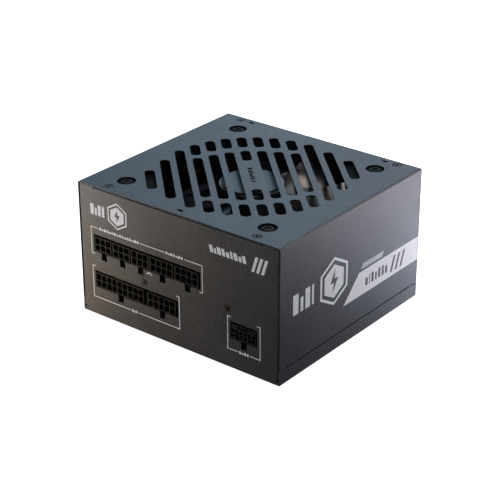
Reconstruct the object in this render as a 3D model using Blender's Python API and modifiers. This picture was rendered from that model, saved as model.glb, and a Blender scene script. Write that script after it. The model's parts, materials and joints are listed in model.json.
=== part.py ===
"""Fully modular desktop power supply unit, 150 x 140 x 86 mm, standing with its fan side up.

Frame: origin at the centre of the bottom face, +Z up through the fan grille, -Y is the
connector panel (front), +Y is the mains inlet panel (rear), X is the 150 mm width.
Sizes are in millimetres and are turned into metres as the geometry is made.
"""

import math

import bmesh
import bpy
from mathutils import Matrix, Vector

MM = 0.001

# ---------------------------------------------------------------- case
WIDTH, LENGTH, HEIGHT = 150.0, 140.0, 86.0
HALF_W, HALF_L = WIDTH / 2, LENGTH / 2
SHEET = 0.8  # steel sheet
GAP = 0.3  # air between pieces that sit on each other
OVERCUT = 2.0  # how far most panel cutters stand clear of the case

COVER_BEND = 1.2  # outside bend radius of the cover
SEAM_Z = 9.5  # top of the tray's side flange
SEAM_HALF = 62.5  # half length of the wide part of each seam
SEAM_GAP = 0.75  # height of the wide part of the side seam
SEAM_NOTCH = 0.7  # extra height, and half width, of the notch at each end of the seam

EDGE_GAP = 0.65  # slit between the upright panels and the cover's sides
PANEL_EDGE = HALF_W - SHEET - EDGE_GAP  # where both panels stop, inside the cover's sides
PANEL_TOP = HEIGHT - SHEET - GAP
FLANGE_TOP = HEIGHT - SHEET - 0.32
FLANGE_BEND = 0.9  # outside radius where the panels turn in along their top
FLANGE_REACH = 11.0  # how far the top flanges reach in from each panel
MOUTH_Z = 80.0  # the mouth between the two flanges is cut from here up
SLIT_Z, SLIT_W = 3.4, 0.4  # foot and width of the slit at each upright corner

COVER_SCREWS = [(-55.2, -65.0), (55.2, -65.0), (-60.0, 65.6), (60.0, 65.6)]
TAB_SLOTS = [(0.2, -65.0), (-51.3, 65.6), (51.3, 65.6)]

# ---------------------------------------------------------------- fan and grille
FAN_X = 0.4  # fan and grille centre
FAN_HOLE = 52.5  # half of the 105 mm hole spacing of a 120 mm fan
FAN_TOP, FAN_DEPTH = 83.3, 25.0
FAN_LOW = FAN_TOP - FAN_DEPTH
FAN_MID = FAN_LOW + FAN_DEPTH / 2
FAN_SCREWS = [(FAN_X + i * FAN_HOLE, j * FAN_HOLE) for j in (-1, 1) for i in (-1, 1)]
CUP_FLOOR = 84.4  # upper face of the pressed cups under the fan screws
DUCT_R = 58.0
HUB_R = 20.5
BLADES = 7
BLADE_ROOT_R, BLADE_TIP_R = 20.0, 56.8
BLADE_T = 1.3

SLOT_W, SLOT_R, SLOT_PITCH = 6.2, 2.5, 10.0
# grille slots (row, start, end) along each diagonal row; these repeat in the negative rows
SLOTS = [
    (6, -14.0, 14.0),
    (5, -28.8, 28.8),
    (4, -42.6, 42.6),
    (3, -50.6, -33.8), (3, -29.5, 29.5), (3, 33.8, 50.6),
    (2, -55.6, -38.7), (2, -33.2, 33.2), (2, 38.7, 55.6),
    (1, -58.5, -41.8), (1, -36.0, 36.0), (1, 41.8, 58.5),
]
MIDDLE_SLOTS = [(0, -59.3, -42.8), (0, -37.3, -21.5), (0, 21.5, 37.3), (0, 42.8, 59.3)]

# ---------------------------------------------------------------- connector panel
SOCKET_FRONT, SOCKET_BACK = -69.9, -58.6  # Y of the two ends of the socket housings
SOCKET_H = 9.6
UPPER_Z, LOWER_Z, SMALL_Z = 48.3, 24.3, 24.5  # centre heights of the socket rows
PITCH, CAVITY = 4.2, 3.3  # contact spacing and cavity width of the large sockets
SMALL_PITCH, SMALL_CAVITY = 3.0, 2.2
# name, centre x, centre z, columns, pitch, cavity, width, latch window's centre x
SOCKETS = [
    ("socket_6pin_1", -57.0, UPPER_Z, 3, PITCH, CAVITY, 13.6, -56.2),
    ("socket_6pin_2", -42.4, UPPER_Z, 3, PITCH, CAVITY, 14.0, -41.5),
    ("socket_6pin_3", -27.8, UPPER_Z, 3, PITCH, CAVITY, 14.0, -27.1),
    ("socket_8pin_1", -11.25, UPPER_Z, 4, PITCH, CAVITY, 18.3, -10.4),
    ("socket_8pin_2", 7.85, UPPER_Z, 4, PITCH, CAVITY, 18.3, 8.75),
    ("socket_18pin", -44.6, LOWER_Z, 9, PITCH, CAVITY, 38.4, -43.8),
    ("socket_10pin", -11.8, LOWER_Z, 5, PITCH, CAVITY, 22.6, -11.1),
    ("socket_16pin", 49.2, SMALL_Z, 6, SMALL_PITCH, SMALL_CAVITY, 18.2, 49.7),
]
# panel cut-outs round the rows: x0, x1, row z; each reaches down at the latch windows
CUTOUTS = [(-64.1, 18.4, UPPER_Z), (-64.1, 1.25, LOWER_Z), (39.8, 59.3, SMALL_Z)]
CUTOUT_BELOW, CUTOUT_ABOVE = 5.1, 6.1  # reach of a cut-out from its row's centre
LATCH_W, LATCH_DROP = 4.3, 4.5
MODULAR_SCREWS = [("left", -24.0, 34.6), ("right", 38.0, 37.8)]

# ---------------------------------------------------------------- boards
BOARD_T = 1.6
MODULAR_FRONT = SOCKET_BACK + GAP  # Y of the socket board's front face
MODULAR_BACK = MODULAR_FRONT + BOARD_T
BOARD_Z = 6.4  # underside of the main board
BOARD_SCREWS = [(-65.0, -48.0), (65.0, -48.0), (-65.0, 54.0), (65.0, 54.0)]
FOOT_Z = BOARD_Z + BOARD_T + GAP  # underside of everything that stands on the main board

# ---------------------------------------------------------------- mains panel
INLET_X, INLET_Z = 46.0, 24.0
INLET_PLATE_T = 2.4
INLET_SCREW = 20.0  # each fixing screw's distance from the inlet's centre
PIN_X, PIN_Z = 7.0, 2.0
# name and offset from the inlet's centre in X and Z
INLET_PINS = [("line", -PIN_X, -PIN_Z), ("neutral", PIN_X, -PIN_Z), ("earth", 0.0, PIN_Z)]
PIN_HALF_W, PIN_HALF_H = 1.0, 2.0
SWITCH_X, SWITCH_Z = 11.0, 24.0
SWITCH_PLATE_T = 1.8
PIVOT_Y = HALF_L - 0.6
ROCKER_TILT = 11.0  # degrees off level; the top edge stands out, which is the off position
PANEL_HOLES = [(-69.0, 6.0), (69.0, 6.0), (-69.0, 70.0), (45.0, 80.0)]  # round, x and z
HEX_PITCH, HEX_FLATS = 10.6, 8.9  # spacing and width across flats of the vent holes

# ---------------------------------------------------------------- scene and materials
for old in list(bpy.data.objects):
    bpy.data.objects.remove(old, do_unlink=True)

PARTS = bpy.data.collections.new("power_supply_unit")
CUTTERS = bpy.data.collections.new("cutters")
bpy.context.scene.collection.children.link(PARTS)
bpy.context.scene.collection.children.link(CUTTERS)


def material(name, colour, roughness, metallic=0.0, alpha=1.0):
    mat = bpy.data.materials.new(name)
    mat.use_nodes = True
    inputs = mat.node_tree.nodes["Principled BSDF"].inputs
    inputs["Base Color"].default_value = (*colour, 1.0)
    inputs["Roughness"].default_value = roughness
    inputs["Metallic"].default_value = metallic
    inputs["Alpha"].default_value = alpha
    mat.diffuse_color = (*colour, alpha)
    return mat


CASE = material("case_paint", colour=(0.045, 0.047, 0.052), roughness=0.5)
BLACK = material("black_plastic", colour=(0.018, 0.018, 0.02), roughness=0.45)
SOCKET = material("socket_plastic", colour=(0.022, 0.022, 0.022), roughness=0.55)
FAN = material("fan_plastic", colour=(0.02, 0.02, 0.022), roughness=0.3)
LABEL = material("hub_label", colour=(0.28, 0.32, 0.36), roughness=0.35)
ZINC = material("black_zinc", colour=(0.06, 0.06, 0.065), roughness=0.35, metallic=1.0)
STEEL = material("steel", colour=(0.62, 0.62, 0.63), roughness=0.25, metallic=1.0)
BRASS = material("brass", colour=(0.72, 0.55, 0.28), roughness=0.3, metallic=1.0)
BRONZE = material("sintered_bronze", colour=(0.5, 0.34, 0.18), roughness=0.45, metallic=1.0)
BOARD = material("circuit_board", colour=(0.02, 0.10, 0.045), roughness=0.45)
FILM = material("insulating_film", colour=(0.75, 0.75, 0.72), roughness=0.4, alpha=0.6)
CLEAR = material("clear_sheet", colour=(0.85, 0.87, 0.88), roughness=0.15, alpha=0.35)
ALU = material("aluminium", colour=(0.75, 0.76, 0.77), roughness=0.35, metallic=1.0)
COPPER = material("copper", colour=(0.80, 0.36, 0.18), roughness=0.3, metallic=1.0)
FERRITE = material("ferrite", colour=(0.05, 0.05, 0.055), roughness=0.6)
SLEEVE = material("capacitor_sleeve", colour=(0.03, 0.03, 0.035), roughness=0.35)
FILM_CAP = material("film_capacitor", colour=(0.75, 0.62, 0.12), roughness=0.4)
WIRE_BROWN = material("brown_wire", colour=(0.16, 0.06, 0.03), roughness=0.5)
WIRE_BLUE = material("blue_wire", colour=(0.03, 0.09, 0.35), roughness=0.5)
WIRE_BLACK = material("black_wire", colour=(0.02, 0.02, 0.02), roughness=0.5)
MAGNET = material("magnet", colour=(0.10, 0.10, 0.10), roughness=0.6)

# ---------------------------------------------------------------- placing
NO_TURN = Matrix.Identity(4)
IN_XZ = Matrix.Rotation(math.radians(90), 4, "X")  # outline in X,Z; depth runs along -Y
# outline in Y,Z; depth runs along X
IN_YZ = Matrix(((0, 0, 1, 0), (1, 0, 0, 0), (0, 1, 0, 0), (0, 0, 0, 1)))
TO_REAR = Matrix.Rotation(math.radians(-90), 4, "X")  # turns +Z to +Y
TO_SIDE = Matrix.Rotation(math.radians(90), 4, "Y")  # turns +Z to +X


def at(x=0.0, y=0.0, z=0.0):
    return Matrix.Translation(Vector((x, y, z)) * MM)


# ---------------------------------------------------------------- outlines
def rect(x0, x1, y0, y1):
    return [(x0, y0), (x1, y0), (x1, y1), (x0, y1)]


def arc(cx, cy, radius, start, end, steps):
    """Points from start to end, in degrees, both included."""
    angles = [math.radians(start + (end - start) * i / steps) for i in range(steps + 1)]
    return [(cx + radius * math.cos(a), cy + radius * math.sin(a)) for a in angles]


def circle(cx, cy, radius, sides):
    angles = [2 * math.pi * i / sides for i in range(sides)]
    return [(cx + radius * math.cos(a), cy + radius * math.sin(a)) for a in angles]


def rounded_rect(x0, x1, y0, y1, radius, steps):
    right, left, high, low = x1 - radius, x0 + radius, y1 - radius, y0 + radius
    points = []
    for cx, cy, start in ((right, high, 0), (left, high, 90), (left, low, 180), (right, low, 270)):
        points += arc(cx, cy, radius, start, start + 90.0, steps)
    return points


def shifted(outline, x, z):
    return [(px + x, pz + z) for px, pz in outline]


def fan_holes(centre_x, radius, sides):
    return [circle(centre_x + i * FAN_HOLE, j * FAN_HOLE, radius, sides)
            for i in (-1, 1) for j in (-1, 1)]


# ---------------------------------------------------------------- makers
# In all of these a piece without a material is a hidden helper for a boolean.
def add_object(name, data, mat, matrix=NO_TURN, smooth=True):
    part = bpy.data.objects.new(name, data)
    part.matrix_world = matrix
    if mat is None:
        CUTTERS.objects.link(part)
        part.hide_render = True
        part.display_type = "WIRE"
    else:
        PARTS.objects.link(part)
        data.materials.clear()
        data.materials.append(mat)
    if smooth:
        data.shade_smooth()
        data.set_sharp_from_angle(angle=math.radians(35))
    return part


def from_bmesh(name, solid, mat=None):
    mesh = bpy.data.meshes.new(name)
    solid.to_mesh(mesh)
    solid.free()
    return add_object(name, mesh, mat)


def add_box(solid, x0, x1, y0, y1, z0, z1):
    centre = Vector(((x0 + x1) / 2, (y0 + y1) / 2, (z0 + z1) / 2)) * MM
    size = Vector((x1 - x0, y1 - y0, z1 - z0)) * MM
    matrix = Matrix.Translation(centre) @ Matrix.Diagonal((*size, 1.0))
    bmesh.ops.create_cube(solid, size=1.0, matrix=matrix)


def bevel(solid, edges, offset, segments):
    bmesh.ops.bevel(solid, geom=edges, offset=offset * MM, segments=segments, profile=0.5,
                    affect="EDGES")


def boxes(name, bounds, mat=None, rounding=0.0, segments=1):
    """Boxes as (x0, x1, y0, y1, z0, z1)."""
    solid = bmesh.new()
    for box in bounds:
        add_box(solid, *box)
    if rounding:
        bevel(solid, list(solid.edges), rounding, segments)
    return from_bmesh(name, solid, mat)


def add_cylinder(solid, centre, radius, depth, segments, turn=NO_TURN, end_radius=None):
    """Cylinder or cone along +Z, or along the axis that turn makes of +Z."""
    if end_radius is None:
        end_radius = radius
    bmesh.ops.create_cone(solid, cap_ends=True, segments=segments, radius1=radius * MM,
                          radius2=end_radius * MM, depth=depth * MM, matrix=at(*centre) @ turn)


def cylinders(name, centres, radius, depth, segments, turn=NO_TURN, end_radius=None, mat=None):
    solid = bmesh.new()
    for centre in centres:
        add_cylinder(solid, centre, radius, depth, segments, turn, end_radius)
    return from_bmesh(name, solid, mat)


def prism(name, loops, depth, matrix, mat=None):
    """A flat outline, with any holes in it, given thickness both ways from its plane."""
    curve = bpy.data.curves.new(name, "CURVE")
    curve.dimensions = "2D"
    curve.fill_mode = "BOTH"
    curve.extrude = depth * MM / 2
    for points in loops:
        spline = curve.splines.new("POLY")
        spline.points.add(len(points) - 1)
        for point, (x, y) in zip(spline.points, points):
            point.co = (x * MM, y * MM, 0.0, 1.0)
        spline.use_cyclic_u = True
    outline = bpy.data.objects.new(name + "_outline", curve)
    bpy.context.scene.collection.objects.link(outline)
    outline.matrix_world = matrix
    bpy.context.view_layer.update()
    graph = bpy.context.evaluated_depsgraph_get()
    mesh = bpy.data.meshes.new_from_object(outline.evaluated_get(graph))
    solid = bmesh.new()
    solid.from_mesh(mesh)
    bmesh.ops.remove_doubles(solid, verts=solid.verts, dist=1e-6)
    bmesh.ops.dissolve_limit(solid, angle_limit=0.01, verts=solid.verts, edges=solid.edges)
    bmesh.ops.recalc_face_normals(solid, faces=solid.faces)
    solid.to_mesh(mesh)
    solid.free()
    bpy.data.objects.remove(outline, do_unlink=True)
    mesh.name = name
    return add_object(name, mesh, mat, matrix)


def lathe(name, profile, segments, matrix, mat=None, ring=True):
    """A turned piece: (radius, height) down its outer side; a ring's profile is closed."""
    mesh = bpy.data.meshes.new(name)
    verts = [(radius * MM, 0.0, z * MM) for radius, z in profile]
    edges = [(i, i + 1) for i in range(len(profile) - 1)]
    if ring:
        edges.append((len(profile) - 1, 0))
    mesh.from_pydata(verts, edges, [])
    part = add_object(name, mesh, mat, matrix, smooth=False)
    screw = part.modifiers.new("turn", "SCREW")
    screw.axis = "Z"
    screw.steps = screw.render_steps = segments
    screw.use_merge_vertices = True
    screw.merge_threshold = 1e-5
    screw.use_smooth_shade = False
    return part


def boolean(part, other, operation):
    modifier = part.modifiers.new(operation.lower(), "BOOLEAN")
    modifier.operation = operation
    modifier.solver = "EXACT"
    modifier.object = other


def cut(part, cutter):
    boolean(part, cutter, "DIFFERENCE")


def join(part, addition):
    boolean(part, addition, "UNION")


def pivot_empty(name, matrix):
    pivot = bpy.data.objects.new(name, None)
    PARTS.objects.link(pivot)
    pivot.matrix_world = matrix
    return pivot


# ---------------------------------------------------------------- top cover: grille and both sides
def slot_outline(row, start, end):
    """Rounded slot in a diagonal row: start and end run towards +X -Y, rows towards +X +Y."""
    middle = row * SLOT_PITCH
    diagonal = 1 / math.sqrt(2)
    slot = rounded_rect(start, end, middle - SLOT_W / 2, middle + SLOT_W / 2, SLOT_R, 2)
    return [((along + across) * diagonal + FAN_X, (across - along) * diagonal)
            for along, across in slot]


def cover_section():
    """Cross-section of the folded cover, in X,Z."""
    low = SEAM_Z + GAP
    bend_x, bend_z = HALF_W - COVER_BEND, HEIGHT - COVER_BEND
    inner_bend = COVER_BEND - SHEET
    outer = [(HALF_W, low)]
    outer += arc(bend_x, bend_z, COVER_BEND, 0, 90, 3)
    outer += arc(-bend_x, bend_z, COVER_BEND, 90, 180, 3)
    outer += [(-HALF_W, low)]
    inner = [(-HALF_W + SHEET, low)]
    inner += arc(-bend_x, bend_z, inner_bend, 180, 90, 2)
    inner += arc(bend_x, bend_z, inner_bend, 90, 0, 2)
    inner += [(HALF_W - SHEET, low)]
    return outer + inner


def seam_outline():
    """Side seam in Y,Z: a long slit with a taller notch at each end."""
    low, top = 9.0, SEAM_Z + SEAM_GAP
    notch_top = top + SEAM_NOTCH
    near, far = SEAM_HALF - SEAM_NOTCH, SEAM_HALF + SEAM_NOTCH
    return [(-far, low), (far, low), (far, notch_top), (near, notch_top),
            (near, top), (-near, top), (-near, notch_top), (-far, notch_top)]


def build_cover():
    cover = prism("top_cover", [cover_section()], LENGTH, IN_XZ, CASE)
    mid_sheet = HEIGHT - SHEET / 2
    rows = SLOTS + [(-row, start, end) for row, start, end in SLOTS] + MIDDLE_SLOTS
    openings = [slot_outline(*slot) for slot in rows]
    openings += fan_holes(FAN_X, 5.75, 20)
    openings += [rect(x - 2.0, x + 2.0, y - 1.1, y + 1.1) for x, y in TAB_SLOTS]
    cut(cover, prism("cut_grille", openings, 6.0, at(0, 0, mid_sheet)))
    # countersinks, 3.1 mm radius at the face and 2.4 mm at the back
    centres = [(x, y, mid_sheet) for x, y in COVER_SCREWS]
    cut(cover, cylinders("cut_countersinks", centres, 2.05, 1.6, 16, end_radius=3.45))
    cut(cover, prism("cut_seam", [seam_outline()], WIDTH + 4, IN_YZ))
    # pressed cups that take the fan screws: (radius, z)
    cup = [(6.6, 85.6), (6.6, 85.0), (6.0, 83.6), (2.3, 83.6),
           (2.3, CUP_FLOOR), (5.3, CUP_FLOOR), (5.95, 85.0), (5.95, 85.6)]
    for i, (x, y) in enumerate(FAN_SCREWS):
        join(cover, lathe(f"fan_cup_{i + 1}", cup, 20, at(x, y, 0)))


# ---------------------------------------------------------------- base tray
def tray_block():
    """Solid tray, rounded along its bottom edges."""
    solid = bmesh.new()
    add_box(solid, -HALF_W, HALF_W, -HALF_L, HALF_L, 0.0, PANEL_TOP)
    bends = [e for e in solid.edges if all(v.co.z < 1e-6 for v in e.verts)]
    bevel(solid, bends, offset=1.0, segments=3)
    return from_bmesh("base_tray", solid, CASE)


def tray_inside():
    """Hollow of the tray, rounded along its bottom and under both top flanges."""
    solid = bmesh.new()
    half_x, half_y = HALF_W - SHEET, HALF_L - SHEET
    add_box(solid, -half_x, half_x, -half_y, half_y, SHEET, FLANGE_TOP - SHEET)
    bends = [e for e in solid.edges if all(v.co.z < 1.5 * MM for v in e.verts)]
    bends += [e for e in solid.edges
              if all(v.co.z > 80 * MM for v in e.verts)
              and abs(e.verts[0].co.y - e.verts[1].co.y) < 1e-6]
    bevel(solid, bends, offset=0.5, segments=2)
    return from_bmesh("cut_inside", solid)


def cut_tray_edges(tray):
    """Open the top and the sides, and free the panels' upright edges."""
    out_x, out_y, out_z = HALF_W + OVERCUT, HALF_L + OVERCUT, HEIGHT + OVERCUT
    mouth_y = HALF_L - FLANGE_REACH
    cut(tray, boxes("cut_mouth", [(-out_x, out_x, -mouth_y, mouth_y, MOUTH_Z, out_z)]))
    spans = [(-out_x, -PANEL_EDGE), (PANEL_EDGE, out_x)]
    cut(tray, boxes("cut_sides", [(*span, -out_y, out_y, SEAM_Z, out_z) for span in spans]))
    slit_x = [(-PANEL_EDGE - SLIT_W, -PANEL_EDGE), (PANEL_EDGE, PANEL_EDGE + SLIT_W)]
    slit_in = HALF_L - SHEET - 0.1
    slit_y = [(-HALF_L - 1, -slit_in), (slit_in, HALF_L + 1)]
    slits = [(*xs, *ys, SLIT_Z, SEAM_Z + 1) for xs in slit_x for ys in slit_y]
    cut(tray, boxes("cut_slits", slits))
    # relief holes at the foot of each corner slit
    centres = [(i * (PANEL_EDGE + 0.1), j * HALF_L, SLIT_Z) for i in (-1, 1) for j in (-1, 1)]
    cut(tray, cylinders("cut_reliefs", centres, 1.0, 2.4, 12, IN_XZ))


def shape_top_flange(tray, side, sign):
    """Turn a panel inward along its top, between two small relief notches."""
    def inward(distance):
        return sign * HALF_L - sign * distance

    def end_cuts(name, spans, y0, y1, depth):
        bounds = [(*span, min(y0, y1), max(y0, y1), FLANGE_TOP - depth, HEIGHT + OVERCUT)
                  for span in spans]
        cut(tray, boxes(name + side, bounds))

    round_off = [(inward(13.0), FLANGE_TOP)]
    for degrees in range(0, 91, 18):
        angle = math.radians(degrees)
        round_off.append((inward(FLANGE_BEND * (1.0 - math.sin(angle))),
                          FLANGE_TOP - FLANGE_BEND * (1.0 - math.cos(angle))))
    round_off += [(inward(-OVERCUT), FLANGE_TOP - FLANGE_BEND - 0.02),
                  (inward(-OVERCUT), HEIGHT + OVERCUT), (inward(13.0), HEIGHT + OVERCUT)]
    cut(tray, prism("bend_" + side, [round_off], 2 * SEAM_HALF + 0.4, IN_YZ))
    near, far = SEAM_HALF + 0.3, HALF_W + OVERCUT
    end_cuts("ends_", [(-far, -near), (near, far)], inward(0.81), inward(13.0), 2.6)
    near, far = SEAM_HALF, SEAM_HALF + 0.6
    end_cuts("notch_", [(-far, -near), (near, far)], inward(14.0), inward(-1.0), 1.4)


def add_tray_lips_and_bosses(tray):
    # stepped lip that stands up inside each cover side: (x, z) on the right side
    joggle = [(74.7, 9.3), (73.9, 9.3), (73.9, 15.0), (73.1, 15.0), (73.1, 8.6), (74.7, 8.6)]
    for side, sign in (("left", -1), ("right", 1)):
        outline = [(sign * x, z) for x, z in joggle]
        join(tray, prism("lip_" + side, [outline], 2 * (SEAM_HALF - 1.0), IN_XZ))
    # pressed bosses that carry the main board: (radius, z)
    boss = [(3.0, 6.1), (3.9, 0.4), (1.8, 0.4), (1.8, 6.1)]
    for i, (x, y) in enumerate(BOARD_SCREWS):
        join(tray, lathe(f"boss_{i + 1}", boss, 12, at(x, y, 0)))


def cut_connector_panel(tray):
    outlines = []
    for x0, x1, row_z in CUTOUTS:
        low, high = row_z - CUTOUT_BELOW, row_z + CUTOUT_ABOVE
        outline = [(x1, low), (x1, high), (x0, high), (x0, low)]
        for _, _, socket_z, *_, latch_x in SOCKETS:
            if socket_z == row_z and x0 < latch_x < x1:
                left, right = latch_x - LATCH_W / 2, latch_x + LATCH_W / 2
                outline += [(left, low), (left, low - LATCH_DROP),
                            (right, low - LATCH_DROP), (right, low)]
        outlines.append(outline)
    cut(tray, prism("cut_front", outlines, 4.0, at(0, -HALF_L, 0) @ IN_XZ))
    solid = bmesh.new()
    for _, x, z in MODULAR_SCREWS:
        centre = (x, -HALF_L + SHEET / 2, z)
        add_cylinder(solid, centre, 2.0, 1.6, 16, IN_XZ, end_radius=3.05)
    for x, y in COVER_SCREWS:
        add_cylinder(solid, (x, y, FLANGE_TOP - SHEET / 2), 2.1, 2.6, 12)
    cut(tray, from_bmesh("cut_screw_holes", solid))


def vent_centres():
    """Centres of the hexagonal vents, clear of the inlet, switch and round panel holes."""
    centres = []
    row_pitch = HEX_PITCH * math.sqrt(3) / 2
    for j in range(10):
        z = 8.6 + j * row_pitch
        for i in range(-8, 9):
            x = i * HEX_PITCH + (HEX_PITCH / 2 if j % 2 else 0.0)
            off_panel = abs(x) > 66 or z > 77
            near_hole = any(math.hypot(x - hx, z - hz) < 8.5 for hx, hz in PANEL_HOLES)
            near_mains = x > SWITCH_X - 14 and z < INLET_Z + 18
            if not (off_panel or near_hole or near_mains):
                centres.append((x, z))
    return centres


def cut_mains_panel(tray):
    solid = bmesh.new()
    mid_sheet = HALF_L - SHEET / 2
    turn_hex = IN_XZ @ Matrix.Rotation(math.radians(30), 4, "Z")
    for x, z in vent_centres():
        add_cylinder(solid, (x, mid_sheet, z), HEX_FLATS / math.sqrt(3), 4.0, 6, turn_hex)
    for x, z in PANEL_HOLES:
        add_cylinder(solid, (x, mid_sheet, z), 1.75, 4.0, 12, IN_XZ)
    for sign in (-1, 1):
        centre = (INLET_X + sign * INLET_SCREW, mid_sheet, INLET_Z)
        add_cylinder(solid, centre, 1.8, 4.0, 12, IN_XZ)
    for x, z, half_w, half_h in ((INLET_X, INLET_Z, 14.0, 10.2), (SWITCH_X, SWITCH_Z, 6.7, 9.8)):
        add_box(solid, x - half_w, x + half_w, HALF_L - 2.4, HALF_L + 1.6, z - half_h, z + half_h)
    cut(tray, from_bmesh("cut_rear", solid))


def build_tray():
    tray = tray_block()
    cut(tray, tray_inside())
    cut_tray_edges(tray)
    shape_top_flange(tray, "front", -1)
    shape_top_flange(tray, "rear", 1)
    add_tray_lips_and_bosses(tray)
    cut_connector_panel(tray)
    cut_mains_panel(tray)


# ---------------------------------------------------------------- screws and standoffs
def cut_drive(screw, matrix, radius, depth, turn):
    """Cross recess centred on the head's face, turned by some degrees as the screw stopped."""
    slot, arm = radius * 0.2, radius * 0.62
    outline = [(slot, arm), (-slot, arm), (-slot, slot), (-arm, slot), (-arm, -slot),
               (-slot, -slot), (-slot, -arm), (slot, -arm), (slot, -slot), (arm, -slot),
               (arm, slot), (slot, slot)]
    cos, sin = math.cos(math.radians(turn)), math.sin(math.radians(turn))
    turned = [(cos * x - sin * y, sin * x + cos * y) for x, y in outline]
    cut(screw, prism(screw.name + "_drive", [turned], 2 * depth, matrix))


def flat_screw(name, matrix, head_r, shank_r, length, turn):
    """Countersunk screw, head face at the local origin, shank towards -Z."""
    rim = 0.12
    profile = [(0.0, 0.0), (head_r, 0.0), (head_r, -rim), (shank_r, -rim - (head_r - shank_r)),
               (shank_r, -length), (0.0, -length)]
    screw = lathe(name, profile, 12, matrix, ZINC, ring=False)
    cut_drive(screw, matrix, head_r, 0.7, turn)


def pan_screw(name, matrix, head_r, head_h, shank_r, length, turn=None, mat=ZINC, sides=12):
    """Pan-head screw, underside of the head at the local origin, shank towards -Z."""
    profile = [(0.0, head_h), (head_r * 0.72, head_h), (head_r, head_h * 0.45), (head_r, 0.0),
               (shank_r, 0.0), (shank_r, -length), (0.0, -length)]
    screw = lathe(name, profile, sides, matrix, mat, ring=False)
    if turn is not None:
        cut_drive(screw, matrix @ at(0, 0, head_h), head_r * 0.9, 0.6, turn)


def build_screws():
    for i, (x, y) in enumerate(COVER_SCREWS):
        flat_screw(f"cover_screw_{i + 1}", at(x, y, HEIGHT - 0.15),
                   head_r=2.5, shank_r=1.4, length=5.5, turn=17.0 + 29.0 * i)
    for i, (x, y) in enumerate(FAN_SCREWS):
        pan_screw(f"fan_screw_{i + 1}", at(x, y, CUP_FLOOR + GAP),
                  head_r=4.0, head_h=1.1, shank_r=1.95, length=9.0, turn=11.0 + 23.0 * i)
    for side, x, z in MODULAR_SCREWS:
        flat_screw("modular_screw_" + side, at(x, -HALF_L + 0.1, z) @ IN_XZ,
                   head_r=2.4, shank_r=1.25, length=7.5, turn=34.0)
    for i, (x, y) in enumerate(BOARD_SCREWS):
        pan_screw(f"board_screw_{i + 1}", at(x, y, FOOT_Z),
                  head_r=2.9, head_h=1.7, shank_r=1.5, length=6.0, mat=STEEL, sides=10)
    for side, sign in (("left", -1), ("right", 1)):
        face = HALF_L + GAP + INLET_PLATE_T + GAP
        matrix = at(INLET_X + sign * INLET_SCREW, face, INLET_Z) @ TO_REAR
        pan_screw("inlet_screw_" + side, matrix,
                  head_r=2.8, head_h=1.5, shank_r=1.5, length=8.0, turn=25.0)


def build_standoffs():
    """Hexagonal posts between the connector panel and the socket board."""
    front, back = -HALF_L + SHEET + GAP, MODULAR_FRONT - GAP
    for side, x, z in MODULAR_SCREWS:
        post = cylinders("modular_standoff_" + side, [(x, (front + back) / 2, z)],
                         2.75, back - front, 6, IN_XZ, mat=BRASS)
        cut(post, cylinders("cut_standoff_" + side, [(x, -65.0, z)], 1.6, 12.0, 10, IN_XZ))


# ---------------------------------------------------------------- modular sockets and their board
def cavity_outline(x, z, size, keyed):
    """Square contact cavity; a keyed one has its two upper corners cut off."""
    half = size / 2
    if not keyed:
        return rect(x - half, x + half, z - half, z + half)
    corner = half * 0.55
    return [(x - half, z - half), (x + half, z - half), (x + half, z + half - corner),
            (x + half - corner, z + half), (x - half + corner, z + half),
            (x - half, z + half - corner)]


def build_socket(name, x, z, columns, pitch, cavity, width, latch_x):
    """Header housing: two rows of blind contact cavities, with a latch ramp under it."""
    low, high = z - SOCKET_H / 2, z + SOCKET_H / 2
    housing = boxes(name, [(x - width / 2, x + width / 2, SOCKET_FRONT, SOCKET_BACK, low, high)],
                    SOCKET)
    small = pitch == SMALL_PITCH
    cavities_z = z - 1.0 if small else z
    loops = []
    for i in range(columns):
        for j in (0, 1):
            cavity_x = x + (i - (columns - 1) / 2) * pitch
            cavity_z = cavities_z + (j - 0.5) * pitch
            loops.append(cavity_outline(cavity_x, cavity_z, cavity, (i + j) % 2 == 0))
    if small:  # window of the four sense contacts
        loops.append(rect(x - 4.6, x + 4.6, z + 2.9, z + 3.9))
    cut(housing, prism(name + "_cavities", loops, 10.6, at(0, SOCKET_FRONT + 4.0, 0) @ IN_XZ))
    ramp = [(-68.6, low + 0.3), (-68.6, low - 0.7), (-66.4, low - 2.1), (-65.2, low - 2.1),
            (-65.2, low + 0.3)]
    join(housing, prism(name + "_ramp", [ramp], 3.4, at(latch_x, 0, 0) @ IN_YZ))


def build_modular_board():
    board = boxes("modular_board", [(-68.0, 64.0, MODULAR_FRONT, MODULAR_BACK, 11.0, 56.5)], BOARD)
    middle = (MODULAR_FRONT + MODULAR_BACK) / 2
    centres = [(x, middle, z) for _, x, z in MODULAR_SCREWS]
    cut(board, cylinders("cut_modular_board", centres, 1.6, 4.0, 10, IN_XZ))


# ---------------------------------------------------------------- main board and film under it
def build_main_board():
    outline = rounded_rect(-70.0, 70.0, -53.0, 60.0, 2.0, 2)
    holes = [circle(x, y, 1.8, 10) for x, y in BOARD_SCREWS]
    prism("main_board", [outline] + holes, BOARD_T, at(0, 0, BOARD_Z + BOARD_T / 2), BOARD)


def build_film():
    outline = rounded_rect(-71.0, 71.0, -66.0, 66.0, 3.0, 2)
    holes = [circle(x, y, 4.4, 10) for x, y in BOARD_SCREWS]
    prism("insulator_film", [outline] + holes, 0.4, at(0, 0, 1.4), FILM)


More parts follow.
